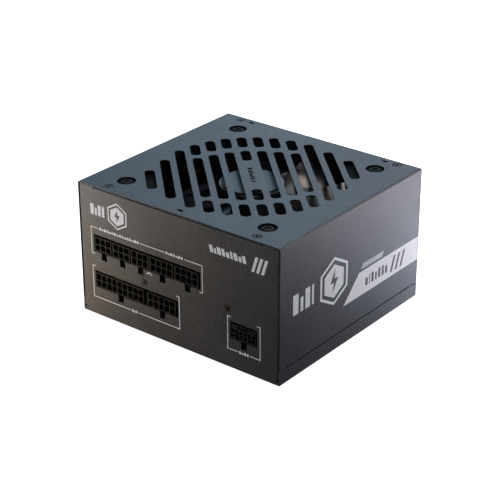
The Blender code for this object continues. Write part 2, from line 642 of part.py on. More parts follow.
# ---------------------------------------------------------------- mains inlet (IEC 60320 C14)
def build_inlet():
    plate = shifted(rounded_rect(-25.0, 25.0, -12.0, 12.0, 3.0, 2), INLET_X, INLET_Z)
    plate_y = HALF_L + GAP + INLET_PLATE_T / 2
    inlet = prism("ac_inlet_body", [plate], INLET_PLATE_T, at(0, plate_y, 0) @ IN_XZ, BLACK)
    shell = (INLET_X - 13.6, INLET_X + 13.6, 50.0, HALF_L + 2.0, INLET_Z - 9.8, INLET_Z + 9.8)
    join(inlet, boxes("inlet_shell", [shell]))
    # recess, with its two lower corners cut off: (x, z) from the inlet's centre
    recess = [(-12.2, 8.2), (-12.2, -4.2), (-8.2, -8.2), (8.2, -8.2), (12.2, -4.2), (12.2, 8.2)]
    cut(inlet, prism("cut_c14", [shifted(recess, INLET_X, INLET_Z)], 24.0,
                     at(0, 65.0, 0) @ IN_XZ))
    solid = bmesh.new()
    for _, dx, dz in INLET_PINS:
        add_box(solid, *pin_bounds(dx, dz, 45.0, 56.0, clearance=GAP))
    for sign in (-1, 1):
        centre = (INLET_X + sign * INLET_SCREW, HALF_L + 1.5, INLET_Z)
        add_cylinder(solid, centre, 1.8, 6.0, 10, IN_XZ)
    cut(inlet, from_bmesh("cut_inlet_holes", solid))


def pin_bounds(dx, dz, y0, y1, clearance=0.0):
    x, z = INLET_X + dx, INLET_Z + dz
    half_w, half_h = PIN_HALF_W + clearance, PIN_HALF_H + clearance
    return (x - half_w, x + half_w, y0, y1, z - half_h, z + half_h)


def build_inlet_pins():
    for label, dx, dz in INLET_PINS:
        boxes("inlet_pin_" + label, [pin_bounds(dx, dz, 44.0, 69.0)], BRASS, rounding=0.3)


# ---------------------------------------------------------------- rocker switch
def build_switch_housing():
    plate = shifted(rounded_rect(-7.5, 7.5, -10.5, 10.5, 1.2, 2), SWITCH_X, SWITCH_Z)
    matrix = at(0, HALF_L + GAP + SWITCH_PLATE_T / 2, 0) @ IN_XZ
    housing = prism("switch_housing", [plate], SWITCH_PLATE_T, matrix, BLACK)

    def block(name, half_w, half_h, y0, y1):
        return boxes(name, [(SWITCH_X - half_w, SWITCH_X + half_w, y0, y1,
                             SWITCH_Z - half_h, SWITCH_Z + half_h)])

    join(housing, block("switch_case", 6.4, 9.5, 56.0, HALF_L + 1.6))
    cut(housing, block("cut_switch_well", 5.3, 8.2, 58.0, HALF_L + 4.0))
    centre = (SWITCH_X, PIVOT_Y, SWITCH_Z)
    cut(housing, cylinders("cut_switch_pivot", [centre], 1.5, 12.2, 16, TO_SIDE))


def build_rocker():
    """The rocker is drawn level, about its own pivot, then tipped to the off side."""
    # (y, z) from the pivot: up the outer face, slightly hollow, and back round the inside
    face = [(3.0 - 0.9 * math.sin(math.pi * i / 6), -7.4 + 14.8 * i / 6) for i in range(1, 6)]
    profile = [(-0.6, -7.3), (3.0, -7.4)] + face
    profile += [(3.0, 7.4), (-0.6, 7.3), (-3.8, 2.2), (-3.8, -2.2)]
    rocker = prism("switch_rocker", [profile], 10.0, IN_YZ, BLACK)
    trunnions = cylinders("rocker_trunnions", [(0, 0, 0)], 1.2, 11.6, 16, TO_SIDE)
    tilt = Matrix.Rotation(math.radians(-ROCKER_TILT), 4, "X")
    pivot = pivot_empty("rocker_pivot", at(SWITCH_X, PIVOT_Y, SWITCH_Z) @ tilt)
    rocker.parent = pivot
    trunnions.parent = pivot
    join(rocker, trunnions)


# ---------------------------------------------------------------- fan
def build_fan_frame():
    loops = [rounded_rect(-60, 60, -60, 60, 6.0, 3), circle(0, 0, DUCT_R, 36)]
    loops += fan_holes(0, 2.3, 12)
    centre = at(FAN_X, 0, FAN_MID)
    frame = prism("fan_frame", loops, FAN_DEPTH, centre, FAN)
    # the corners are open between the two 4 mm flanges
    corners = [rect(-66, 66, -66, 66), circle(0, 0, 59.55, 36)]
    cut(frame, prism("cut_fan_corners", corners, FAN_DEPTH - 8.0, centre))
    # motor base with its bearing tube: (radius, z)
    base = [(4.9, 76.0), (4.9, 61.2), (20.6, 61.0), (20.6, FAN_LOW), (2.4, FAN_LOW),
            (2.4, FAN_LOW + 1.8), (3.9, FAN_LOW + 1.8), (3.9, 76.0)]
    join(frame, lathe("fan_motor_base", base, 20, at(FAN_X, 0, 0)))
    for i in range(4):
        bounds = (19.0, 59.0, -1.6, 1.6, FAN_LOW + 0.2, FAN_LOW + 3.0)
        strut = boxes(f"fan_strut_{i + 1}", [bounds])
        turn = Matrix.Rotation(math.radians(28 + 90 * i), 4, "Z")
        strut.matrix_world = at(FAN_X, 0, 0) @ turn
        join(frame, strut)


def build_fan_motor():
    """Fixed bearing and stator, as (radius, z)."""
    bearing = [(3.6, 75.0), (3.6, 61.0), (1.58, 61.0), (1.58, 75.0)]
    lathe("fan_bearing", bearing, 16, at(FAN_X, 0, 0), BRONZE)
    stator = [(15.6, 74.0), (15.6, 66.0), (9.5, 65.6), (5.2, 63.5), (5.2, 76.0), (9.5, 74.4)]
    lathe("fan_stator", stator, 20, at(FAN_X, 0, 0), COPPER)


def add_blade(solid, index):
    """One open sheet, swept and twisted from hub to tip."""
    radial_steps, chord_steps = 3, 4
    grid = []
    for i in range(radial_steps + 1):
        out = i / radial_steps
        radius = BLADE_ROOT_R + (BLADE_TIP_R - BLADE_ROOT_R) * out
        sweep = math.radians(4.0 + 20.0 * out ** 1.5)
        chord = math.radians(46.0 - 7.0 * out)
        z_top, z_low = 79.8 - 0.8 * out, 63.6 + 4.2 * out
        row = []
        for j in range(chord_steps + 1):
            down = j / chord_steps
            angle = 2 * math.pi * index / BLADES + sweep + (0.5 - down) * chord
            x, y = radius * math.cos(angle), radius * math.sin(angle)
            z = z_top + (z_low - z_top) * (down ** 0.85)
            row.append(solid.verts.new((x * MM, y * MM, z * MM)))
        grid.append(row)
    for inner, outer in zip(grid, grid[1:]):
        for j in range(chord_steps):
            solid.faces.new((inner[j], inner[j + 1], outer[j + 1], outer[j]))


def blade_sheets():
    solid = bmesh.new()
    for i in range(BLADES):
        add_blade(solid, i)
    bmesh.ops.recalc_face_normals(solid, faces=solid.faces)
    blades = from_bmesh("fan_blades", solid)
    thickness = blades.modifiers.new("thickness", "SOLIDIFY")
    thickness.thickness = BLADE_T * MM
    thickness.offset = 0.0
    return blades


def build_impeller():
    """Everything that turns, hung on an empty on the fan's axis; profiles are (radius, z)."""
    hub = [(0.0, 81.2), (18.9, 81.2), (20.1, 80.8), (HUB_R, 79.9), (HUB_R, 63.0), (18.9, 63.0),
           (18.9, 79.6), (3.4, 79.6), (3.4, 76.6), (1.8, 76.6), (1.8, 80.0), (0.0, 80.0)]
    rotor = lathe("fan_rotor", hub, 28, NO_TURN, FAN, ring=False)
    blades = blade_sheets()
    join(rotor, blades)
    ring = [(18.6, 78.5), (18.6, 63.8), (16.4, 63.8), (16.4, 78.5)]
    magnet = lathe("fan_magnet_ring", ring, 20, NO_TURN, MAGNET)
    rod = [(0.0, 79.7), (1.3, 79.7), (1.5, 79.4), (1.5, 61.5), (1.3, 61.2), (0.0, 61.2)]
    shaft = lathe("fan_shaft", rod, 16, NO_TURN, STEEL, ring=False)
    disc = [(0.0, 81.75), (18.4, 81.75), (18.4, 81.5), (0.0, 81.5)]
    label = lathe("hub_label", disc, 28, NO_TURN, LABEL, ring=False)
    axis = pivot_empty("rotor_axis", at(FAN_X, 0, 0))
    for part in (rotor, blades, magnet, shaft, label):
        part.parent = axis


def build_air_guide():
    """Clear sheet under the front of the fan, with a round bay in its rear edge."""
    thickness = 0.5
    outline = [(-56.0, -57.0), (56.0, -57.0), (56.0, -44.0)]
    outline += arc(0, 0, 44.0, -28, -152, 10)
    outline += [(-56.0, -44.0)]
    z = FAN_LOW - GAP - thickness / 2
    prism("air_guide", [outline], thickness, at(FAN_X, 0, z), CLEAR)


# ---------------------------------------------------------------- parts on the main board
def build_main_transformer():
    core = boxes("main_transformer", [(-14.0, 22.0, -16.0, 16.0, FOOT_Z, FOOT_Z + 6.0)], FERRITE)
    upper = (-11.0, 19.0, -13.0, 13.0, FOOT_Z + 4.0, FOOT_Z + 34.0)
    join(core, boxes("transformer_core", [upper]))
    winding = (-7.0, 15.0, -18.0, 18.0, FOOT_Z + 9.0, FOOT_Z + 29.0)
    join(core, boxes("transformer_winding", [winding], rounding=3.0, segments=2))


def build_standby_transformer():
    bounds = (-22.0, -2.0, 26.0, 42.0, FOOT_Z, FOOT_Z + 18.0)
    core = boxes("standby_transformer", [bounds], FERRITE)
    winding = (-19.5, -4.5, 24.0, 44.0, FOOT_Z + 4.0, FOOT_Z + 14.5)
    join(core, boxes("standby_winding", [winding], rounding=2.0))


def can(name, x, y, radius, height, sides):
    """Electrolytic capacitor, with a rolled groove near its foot and a pressed top."""
    profile = [(0.0, height - 0.5), (radius * 0.84, height - 0.5), (radius * 0.88, height),
               (radius, height - radius * 0.08), (radius, 5.5), (radius * 0.94, 4.5),
               (radius, 3.5), (radius, 0.0), (0.0, 0.0)]
    lathe(name, profile, sides, at(x, y, FOOT_Z), SLEEVE, ring=False)


def choke(name, x, y, major, minor):
    """Wound ring core, standing on edge with its axis along Y."""
    sides = 8
    angles = [-2 * math.pi * i / sides + 0.3 for i in range(sides)]
    section = [(major + minor * math.cos(a), minor * math.sin(a)) for a in angles]
    lathe(name, section, 20, at(x, y, FOOT_Z + major + minor + GAP) @ IN_XZ, COPPER)


def heatsink(name, x, sign):
    """Extruded plate from x towards sign, with fins on that side, standing on the board."""
    plate, fin_end = x + sign * 3.0, x + sign * 9.0
    outline = [(x, -30.0), (plate, -30.0)]
    for i in range(7):
        y = -27.0 + 8.0 * i
        outline += [(plate, y), (fin_end, y), (fin_end, y + 1.6), (plate, y + 1.6)]
    outline += [(plate, 24.0), (x, 24.0)]
    height = 36.0
    prism(name, [outline], height, at(0, 0, FOOT_Z + height / 2), ALU)


def build_busbar():
    """Upright bar along X, its top turned towards -Y; section in (y, z)."""
    bar = [(-52.7, FOOT_Z), (-52.7, 36.0), (-56.4, 36.0), (-56.4, 34.6), (-54.1, 34.6),
           (-54.1, FOOT_Z)]
    prism("power_busbar", [bar], 44.0, at(-30.0, 0, 0) @ IN_YZ, COPPER)


def build_board_parts():
    build_main_transformer()
    build_standby_transformer()
    can("bulk_capacitor", x=50.0, y=-6.0, radius=15.0, height=45.0, sides=24)
    can("output_capacitor_1", x=-44.0, y=-30.0, radius=5.0, height=22.0, sides=12)
    can("output_capacitor_2", x=-44.0, y=-17.5, radius=5.0, height=22.0, sides=12)
    choke("pfc_choke", x=48.0, y=-38.0, major=14.0, minor=7.0)
    choke("emi_choke", x=12.0, y=48.0, major=8.6, minor=4.4)
    film_cap = (-30.0, -6.0, 49.0, 58.0, FOOT_Z, FOOT_Z + 17.0)
    boxes("film_capacitor", [film_cap], FILM_CAP, rounding=0.8)
    heatsink("primary_heatsink", 32.5, -1)
    heatsink("secondary_heatsink", -33.0, 1)
    supervisor = (-59.0, -57.4, -4.0, 36.0, FOOT_Z, FOOT_Z + 26.0)
    boxes("supervisor_board", [supervisor], BOARD)
    build_busbar()


# ---------------------------------------------------------------- internal wiring
def bezier(controls, steps):
    """Points along a cubic curve with four control points."""
    points = []
    for i in range(steps + 1):
        t = i / steps
        weights = ((1 - t) ** 3, 3 * t * (1 - t) ** 2, 3 * t * t * (1 - t), t ** 3)
        points.append([sum(w * c for w, c in zip(weights, axis)) for axis in zip(*controls)])
    return points


def wire(name, controls, steps, radius, mat):
    """A round wire in straight runs along a cubic curve."""
    points = bezier(controls, steps)
    curve = bpy.data.curves.new(name, "CURVE")
    curve.dimensions = "3D"
    curve.bevel_depth = radius * MM
    curve.bevel_resolution = 2
    curve.use_fill_caps = True
    spline = curve.splines.new("POLY")
    spline.points.add(len(points) - 1)
    for point, (x, y, z) in zip(spline.points, points):
        point.co = (x * MM, y * MM, z * MM, 1.0)
    add_object(name, curve, mat, smooth=False)


def build_wires():
    end_z = FOOT_Z + 0.2
    x, z = INLET_X - PIN_X, INLET_Z - PIN_Z
    line = [(x, 43.2, z), (x, 33.0, z), (30.0, 36.0, 24.0), (30.0, 36.0, end_z)]
    wire("ac_wire_line", line, 8, 1.3, WIRE_BROWN)
    x = INLET_X + PIN_X
    neutral = [(x, 43.2, z), (x, 31.0, z), (44.0, 34.0, 24.0), (44.0, 34.0, end_z)]
    wire("ac_wire_neutral", neutral, 8, 1.3, WIRE_BLUE)
    fan = [(-52.0, -30.0, FAN_LOW - 2.2), (-58.0, -30.0, FAN_LOW - 14.0),
           (-64.0, -22.0, 34.0), (-64.0, -22.0, end_z)]
    wire("fan_cable", fan, 10, 1.1, WIRE_BLACK)


# ---------------------------------------------------------------- assembly
build_cover()
build_tray()
build_screws()
build_standoffs()
for socket in SOCKETS:
    build_socket(*socket)
build_modular_board()
build_main_board()
build_film()
build_inlet()
build_inlet_pins()
build_switch_housing()
build_rocker()
build_fan_frame()
build_fan_motor()
build_impeller()
build_air_guide()
build_board_parts()
build_wires()
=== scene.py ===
"""Modular power supply unit: looks, prints, contacts and wound parts round the CAD frame.

The case is centred on X and Y and stands on z = 0. The connector panel faces -Y, the printed
side faces +X, and the fan lies flat under the grille at the top. Lengths are in mm and are
multiplied by MM where they reach Blender.
"""
import json
import math

import bmesh
import bpy
from mathutils import Matrix, Vector


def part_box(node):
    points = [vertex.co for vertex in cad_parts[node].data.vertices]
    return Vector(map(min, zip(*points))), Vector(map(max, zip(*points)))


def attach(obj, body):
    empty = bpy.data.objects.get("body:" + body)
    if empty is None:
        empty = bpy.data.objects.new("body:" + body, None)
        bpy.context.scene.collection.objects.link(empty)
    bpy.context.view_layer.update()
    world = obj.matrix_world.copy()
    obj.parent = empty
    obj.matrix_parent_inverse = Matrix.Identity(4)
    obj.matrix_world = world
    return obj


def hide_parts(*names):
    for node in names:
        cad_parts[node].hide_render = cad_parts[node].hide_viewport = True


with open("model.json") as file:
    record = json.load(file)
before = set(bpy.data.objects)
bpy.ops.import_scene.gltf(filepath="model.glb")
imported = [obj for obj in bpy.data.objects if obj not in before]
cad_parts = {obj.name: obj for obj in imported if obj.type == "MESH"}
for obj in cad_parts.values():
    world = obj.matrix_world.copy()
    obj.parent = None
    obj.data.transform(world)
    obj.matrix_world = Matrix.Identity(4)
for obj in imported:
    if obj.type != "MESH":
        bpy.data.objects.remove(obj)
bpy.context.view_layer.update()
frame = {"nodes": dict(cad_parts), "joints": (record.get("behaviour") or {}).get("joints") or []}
NODES = frame["nodes"]
MM = 0.001

PIECES = bpy.data.collections.new("visual_pieces")
bpy.context.scene.collection.children.link(PIECES)


# ------------------------------------------------------------------ material builder
class Tree:
    """Builds one material's nodes; a value may be a number, a 3-tuple or a socket."""

    INPUTS = {"color": "Base Color", "rough": "Roughness", "metal": "Metallic",
              "normal": "Normal", "spec": "Specular IOR Level", "alpha": "Alpha"}

    def __init__(self, name):
        self.mat = bpy.data.materials.new(name)
        self.mat.use_nodes = True
        self.nodes = self.mat.node_tree.nodes
        self.bsdf = self.nodes["Principled BSDF"]
        self.coord = self.node("TexCoord").outputs["Object"]

    def feed(self, socket, value):
        if isinstance(value, tuple):
            socket.default_value = (*value, 1)[:len(socket.default_value)]
        elif isinstance(value, (int, float)):
            socket.default_value = value
        else:
            self.mat.node_tree.links.new(value, socket)

    def node(self, kind, inputs=None, **settings):
        made = self.nodes.new("ShaderNode" + kind)
        for key, value in settings.items():
            setattr(made, key, value)
        for key, value in (inputs or {}).items():
            self.feed(made.inputs[key], value)
        return made

    def mapped(self, scale=(1, 1, 1), turn=(0, 0, 0)):
        inputs = {"Scale": scale, "Rotation": turn, "Vector": self.coord}
        return self.node("Mapping", inputs).outputs["Vector"]

    def noise(self, scale, detail=2.0, rough=0.5, vector=None):
        inputs = {"Scale": scale, "Detail": detail, "Roughness": rough,
                  "Vector": vector or self.coord}
        return self.node("TexNoise", inputs).outputs["Fac"]

    def voronoi(self, scale, vector=None):
        inputs = {"Scale": scale, "Vector": vector or self.coord}
        return self.node("TexVoronoi", inputs).outputs["Distance"]

    def ramp(self, fac, low, high, start=0.3, end=0.7):
        """Colour from low at start to high at end."""
        made = self.node("ValToRGB", {"Fac": fac})
        for stop, place, rgb in zip(made.color_ramp.elements, (start, end), (low, high)):
            stop.position = place
            stop.color = (*rgb, 1)
        return made.outputs["Color"]

    def remap(self, fac, low, high, start=0.3, end=0.7):
        """Number from low at start to high at end."""
        inputs = {"From Min": start, "From Max": end, "To Min": low, "To Max": high,
                  "Value": fac}
        return self.node("MapRange", inputs).outputs["Result"]

    def math(self, operation, a, b=0.0):
        return self.node("Math", {0: a, 1: b}, operation=operation).outputs["Value"]

    def add(self, a, b):
        return self.math("ADD", a, b)

    def minus(self, a, b):
        return self.math("SUBTRACT", a, b)

    def times(self, a, b):
        return self.math("MULTIPLY", a, b)

    def above(self, a, b):
        return self.math("GREATER_THAN", a, b)

    def below(self, a, b):
        return self.math("LESS_THAN", a, b)

    def mix(self, fac, a, b, mode="MIX"):
        # inputs 6 and 7 and output 2 are the colour sockets
        made = self.node("Mix", {0: fac, 6: a, 7: b}, data_type="RGBA", blend_type=mode)
        return made.outputs[2]

    def bump(self, height, depth, strength):
        """Relief of the given depth in mm."""
        inputs = {"Distance": depth * MM, "Strength": strength, "Height": height}
        return self.node("Bump", inputs).outputs["Normal"]

    def edges(self, radius):
        """0 on flats, up to 1 where the surface turns within radius, in mm."""
        bevel = self.node("Bevel", {"Radius": radius * MM}, samples=4)
        flat = self.node("NewGeometry").outputs["Normal"]
        inputs = {0: bevel.outputs["Normal"], 1: flat}
        dot = self.node("VectorMath", inputs, operation="DOT_PRODUCT").outputs["Value"]
        return self.remap(dot, 1.0, 0.0, start=0.80, end=0.995)

    def crease_shade(self, distance, low=0.25):
        """Painted shade: 1 on open surface, down to low in gaps narrower than about twice
        distance, in mm.
        """
        made = self.node("AmbientOcclusion", {"Distance": distance * MM}, samples=6)
        return self.remap(made.outputs["AO"], low, 1.0, start=0.30, end=0.80)

    def position(self):
        place = self.node("NewGeometry").outputs["Position"]
        return self.node("SeparateXYZ", {0: place}).outputs

    def inside_shade_mask(self):
        """1 within the case's walls, where the coat gets painted shade; the limits are in
        metres.
        """
        x, y, z = self.position()
        in_x = self.below(self.math("ABSOLUTE", x), 0.0745)
        # the panels' rounded top bend counts as outside
        bend = self.times(self.above(z, 0.0825), 0.0022)
        in_y = self.below(self.add(self.math("ABSOLUTE", y), bend), 0.0695)
        # walls of the holes in the cover's top count as inside
        lid = self.times(self.below(self.math("ABSOLUTE", x), 0.0732), 0.0008)
        in_z = self.times(self.below(self.minus(z, lid), 0.0850), self.above(z, 0.0005))
        return self.times(self.times(in_x, in_y), in_z)

    def set(self, **values):
        for key, value in values.items():
            self.feed(self.bsdf.inputs[self.INPUTS[key]], value)
        return self.mat


def scaled(rgb, k):
    return tuple(c * k for c in rgb)


# ------------------------------------------------------------------ kinds of material
def powder_coat(name, rgb, rim=False):
    """Fine-texture powder coat; rim paints shade onto the sheet's cut ends at +-Y."""
    m = Tree(name)
    cloud = m.noise(38.0, detail=3.0, rough=0.6)
    grit = m.noise(2600.0, rough=0.6)
    flake = m.voronoi(2100.0)
    peel = m.noise(1250.0, rough=0.55)
    base = m.ramp(cloud, scaled(rgb, 0.93), scaled(rgb, 1.07))
    base = m.mix(m.remap(grit, 0.0, 0.30, start=0.50, end=0.75), base, scaled(rgb, 1.9))
    # lighter edges: partly rubbed wear, partly a painted highlight along the bends and sheet
    # edges
    wear_and_highlight = m.remap(m.noise(160.0, detail=4.0, rough=0.7), 0.05, 0.55, start=0.40, end=0.62)
    base = m.mix(m.times(m.edges(0.35), wear_and_highlight), base, scaled(rgb, 3.2))
    # film thickness changes a little from grain to grain
    grain_and_crease_shade = m.remap(m.noise(820.0, rough=0.6), 0.86, 1.14, start=0.32, end=0.68)
    # painted shade in creases and narrow gaps, darkening the coat's colour and specular
    grain_and_crease_shade = m.times(grain_and_crease_shade, m.crease_shade(0.9))
    base = m.mix(1.0, base, grain_and_crease_shade, "MULTIPLY")
    height = m.add(m.times(grit, 0.65), m.times(flake, 0.5))
    height = m.add(height, m.times(peel, 1.3))
    rough = m.add(m.remap(grit, 0.42 - 0.05, 0.42 + 0.06), m.remap(cloud, -0.02, 0.03))
    rough = m.add(rough, m.remap(peel, -0.035, 0.035))
    inner = m.inside_shade_mask()  # painted shade: faces turned into the case get a much darker coat, rougher and with less specular
    if rim:
        x, y, z = m.position()
        end = m.above(m.math("ABSOLUTE", y), 0.06994)
        top = m.times(m.above(z, 0.0851), 0.7)
        right = m.times(m.above(x, 0.0735), 0.35)
        # painted shade on the cover's cut ends at +-Y, weaker at the top and at the right
        rim_shade = m.times(end, m.minus(m.minus(1.0, top), right))
        inner = m.math("MAXIMUM", inner, rim_shade)
    # painted shade: the inside faces and the cut ends take 0.14 of the coat's colour
    base = m.mix(inner, base, scaled(rgb, 0.14))
    rough = m.math("MAXIMUM", rough, m.times(inner, 0.85))
    spec = m.times(grain_and_crease_shade, m.minus(0.5, m.times(inner, 0.45)))
    return m.set(color=base, rough=rough, normal=m.bump(height, 0.055, 0.7), spec=spec)


def moulded(name, rgb, rough, grain=1500.0, depth=0.02, edge=1.8, spec=0.5, gap=0.0):
    """Fine-grained plastic: edge brightens corners, gap (mm) paints shade into narrow openings.
    """
    m = Tree(name)
    fine = m.noise(grain, detail=3.0, rough=0.6)
    broad = m.noise(70.0)
    base = m.ramp(broad, scaled(rgb, 0.88), scaled(rgb, 1.12))
    base = m.mix(m.times(m.edges(0.2), 0.5), base, scaled(rgb, edge))
    sheen = m.add(m.remap(fine, rough - 0.06, rough + 0.08), m.remap(broad, -0.03, 0.03))
    if gap:
        # painted shade in narrow openings, on colour and specular
        dark = m.crease_shade(gap, low=0.15)
        base = m.mix(1.0, base, dark, "MULTIPLY")
        spec = m.times(dark, spec)
    return m.set(color=base, rough=sheen, normal=m.bump(fine, depth, 0.5), spec=spec)


def plated(name, rgb, rough, scratch=0.5):
    """Plated or bright metal with fine turned scratches and slight staining."""
    m = Tree(name)
    lines = m.noise(1.0, detail=4.0, rough=0.65, vector=m.mapped((260.0, 260.0, 9000.0)))
    stain = m.noise(240.0, detail=3.0, rough=0.6)
    base = m.mix(m.remap(stain, 0.0, 0.35), rgb, scaled(rgb, 0.62))
    bright = tuple(min(1.0, c * 1.6 + 0.04) for c in rgb)
    base = m.mix(m.times(m.edges(0.12), 0.55), base, bright)
    sheen = m.remap(lines, rough - 0.07 * scratch, rough + 0.16 * scratch)
    sheen = m.add(sheen, m.remap(stain, 0.0, 0.08))
    return m.set(color=base, rough=sheen, metal=1.0, normal=m.bump(lines, 0.006, 0.4 * scratch))


def ink(name, rgb):
    """Screen-printed ink, riding over the coat's texture, with small pinholes."""
    m = Tree(name)
    grit = m.noise(2600.0, rough=0.6)
    blot = m.noise(420.0, detail=3.0, rough=0.65)
    base = m.ramp(blot, scaled(rgb, 0.92), rgb, start=0.28, end=0.60)
    base = m.mix(m.remap(grit, 0.0, 0.35, start=0.60, end=0.80), base, scaled(rgb, 0.55))
    return m.set(color=base, rough=m.remap(grit, 0.42, 0.60), normal=m.bump(grit, 0.02, 0.4))


def board_mask(name, rgb, turn=(0, 0, 0)):
    """Solder mask over copper: tracks, tinned holes, and a weave under it."""
    m = Tree(name)
    vector = m.mapped(turn=turn)
    tracks = m.node("TexBrick", {
        "Scale": 160.0, "Mortar Size": 0.028, "Color1": scaled(rgb, 1.25),
        "Color2": scaled(rgb, 0.75), "Mortar": scaled(rgb, 0.45), "Vector": vector})
    pads = m.remap(m.voronoi(330.0, vector), 1.0, 0.0, start=0.16, end=0.20)
    weave = m.noise(2400.0, detail=1.0, vector=vector)
    base = m.mix(m.remap(weave, 0.0, 0.25), tracks.outputs["Color"], scaled(rgb, 1.6))
    base = m.mix(pads, base, (0.55, 0.52, 0.46))
    height = m.add(weave, m.times(pads, 3.0))
    return m.set(color=base, rough=m.remap(weave, 0.28, 0.42), metal=m.times(pads, 0.9),
                 normal=m.bump(height, 0.02, 0.5))


def wound(name, rgb, scale):
    """Enamelled wire lying side by side."""
    m = Tree(name)
    bands = m.node("TexWave", {"Scale": scale, "Distortion": 0.6, "Vector": m.coord},
                   wave_type="BANDS", bands_direction="DIAGONAL").outputs["Fac"]
    # the dark side of each band is painted shade in the groove between turns
    base = m.ramp(bands, scaled(rgb, 0.35), rgb, start=0.0, end=0.55)
    return m.set(color=base, rough=m.remap(m.noise(300.0), 0.22, 0.36), metal=0.85,
                 normal=m.bump(bands, 0.12, 0.8))


def wire_skin(name, rgb):
    """Dull plastic round a wire."""
    m = Tree(name)
    grain = m.noise(900.0)
    base = m.ramp(grain, scaled(rgb, 0.8), scaled(rgb, 1.2))
    return m.set(color=base, rough=m.remap(grain, 0.38, 0.55), normal=m.bump(grain, 0.02, 0.4))


def clear_film(name, rgb, alpha, rough):
    """See-through plastic sheet."""
    m = Tree(name)
    haze = m.noise(120.0, detail=3.0)
    return m.set(color=m.ramp(haze, scaled(rgb, 0.92), rgb), alpha=alpha,
                 rough=m.remap(haze, rough, rough + 0.12), normal=m.bump(haze, 0.05, 0.2))


def label_foil(name):
    """Blank matt grey label on the fan hub."""
    m = Tree(name)
    grain = m.noise(1400.0)
    cloud = m.noise(60.0)
    base = m.ramp(cloud, (0.020, 0.0225, 0.026), (0.028, 0.0315, 0.0355))
    base = m.mix(m.remap(grain, 0.0, 0.2), base, (0.018, 0.0205, 0.023))
    return m.set(color=base, rough=m.remap(grain, 0.36, 0.48), metal=0.0,
                 normal=m.bump(grain, 0.01, 0.3))


# ------------------------------------------------------------------ the materials
PAINT_RGB = (0.036, 0.037, 0.040)
QUARTER = math.radians(90)
OXIDE = {"grain": 1900.0, "depth": 0.012}
M = {
    "paint": powder_coat("case_powder_coat", PAINT_RGB),
    "paint_cover": powder_coat("cover_powder_coat", PAINT_RGB, rim=True),
    "socket": moulded("socket_nylon", (0.0045, 0.0044, 0.0042), rough=0.55, edge=1.2, spec=0.16),
    "socket_row": moulded("socket_nylon_black", (0.0028, 0.0027, 0.0026), rough=0.58,
                          edge=1.15, spec=0.11),
    "black": moulded("black_moulding", (0.013, 0.013, 0.0135), rough=0.40, spec=0.32),
    "rocker": moulded("rocker_gloss", (0.014, 0.014, 0.015), rough=0.22,
                      grain=900.0, depth=0.008),
    "fan": moulded("fan_gloss", (0.012, 0.012, 0.013), rough=0.23, depth=0.0012),
    # black plastic, made darker still as painted shade inside the duct
    "fan_frame": moulded("fan_frame_black_painted_shade", (0.0038, 0.0038, 0.004), rough=0.62,
                         edge=1.3, spec=0.06),
    "label": label_foil("hub_label_foil"),
    "zinc": plated("black_zinc", (0.10, 0.10, 0.11), rough=0.34),
    "oxide": moulded("black_oxide", (0.016, 0.0155, 0.015), rough=0.44,
                     edge=1.5, spec=0.5, gap=0.8, **OXIDE),
    # fan screw heads in their recess cups: black oxide, made darker still as painted shade
    "oxide_in_shade": moulded("black_oxide_painted_shade", (0.0042, 0.0038, 0.0036), rough=0.55,
                          edge=1.5, spec=0.14, **OXIDE),
    "oxide_cover": moulded("black_oxide_flat", (0.033, 0.034, 0.037), rough=0.44,
                           edge=1.4, spec=0.42, gap=0.9, **OXIDE),
    "steel": plated("bright_steel", (0.62, 0.62, 0.63), rough=0.22),
    "brass": plated("brass", (0.72, 0.53, 0.26), rough=0.24),
    "tin": plated("tinned_contact", (0.30, 0.28, 0.24), rough=0.34),
    "bronze": plated("sintered_bronze", (0.46, 0.31, 0.17), rough=0.45),
    "alu": plated("extruded_aluminium", (0.66, 0.67, 0.69), rough=0.34, scratch=1.0),
    "busbar": plated("bare_copper", (0.78, 0.36, 0.20), rough=0.26),
    "pcb_main": board_mask("main_board_mask", (0.012, 0.055, 0.028)),
    "pcb_mod": board_mask("socket_board_mask", (0.006, 0.0062, 0.007), turn=(QUARTER, 0, 0)),
    "pcb_sup": board_mask("supervisor_board_mask", (0.010, 0.045, 0.026), turn=(0, QUARTER, 0)),
    "film": clear_film("insulating_film", (0.62, 0.62, 0.58), alpha=0.7, rough=0.3),
    "clear": clear_film("clear_air_guide", (0.80, 0.83, 0.85), alpha=0.22, rough=0.08),
    "ferrite": moulded("ferrite", (0.045, 0.045, 0.048), rough=0.55, grain=1100.0, depth=0.05),
    "magnet": moulded("bonded_magnet", (0.07, 0.07, 0.075), rough=0.5,
                      grain=1300.0, depth=0.04),
    "tape": moulded("polyester_tape", (0.62, 0.42, 0.03), rough=0.30, grain=300.0),
    "sleeve": moulded("capacitor_sleeve", (0.016, 0.018, 0.024), rough=0.28, grain=300.0),
    "filmcap": moulded("film_capacitor_box", (0.60, 0.45, 0.05), rough=0.35),
    "coil": wound("stator_winding", (0.74, 0.30, 0.12), scale=420.0),
    "enamel": plated("enamelled_wire", (0.70, 0.27, 0.10), rough=0.22, scratch=0.6),
    "brown": wire_skin("brown_wire", (0.14, 0.05, 0.025)),
    "blue": wire_skin("blue_wire", (0.03, 0.08, 0.34)),
    "dark": wire_skin("black_wire", (0.02, 0.02, 0.02)),
    "ink": ink("pale_grey_ink", (0.87, 0.87, 0.88)),
    "ink_white": ink("white_ink", (0.84, 0.84, 0.83)),
    "ink_dark": ink("dark_ink", (0.035, 0.037, 0.042)),
    "ink_black": moulded("black_ink", (0.004, 0.004, 0.005), rough=0.82,
                         grain=2600.0, edge=1.2, spec=0.06),
}
# warm specular tint on the blades: painted warmth in their glints, offsetting the lamps' blue
fan_bsdf = M["fan"].node_tree.nodes["Principled BSDF"]
fan_bsdf.inputs["Specular Tint"].default_value = (1.0, 0.87, 0.80, 1.0)

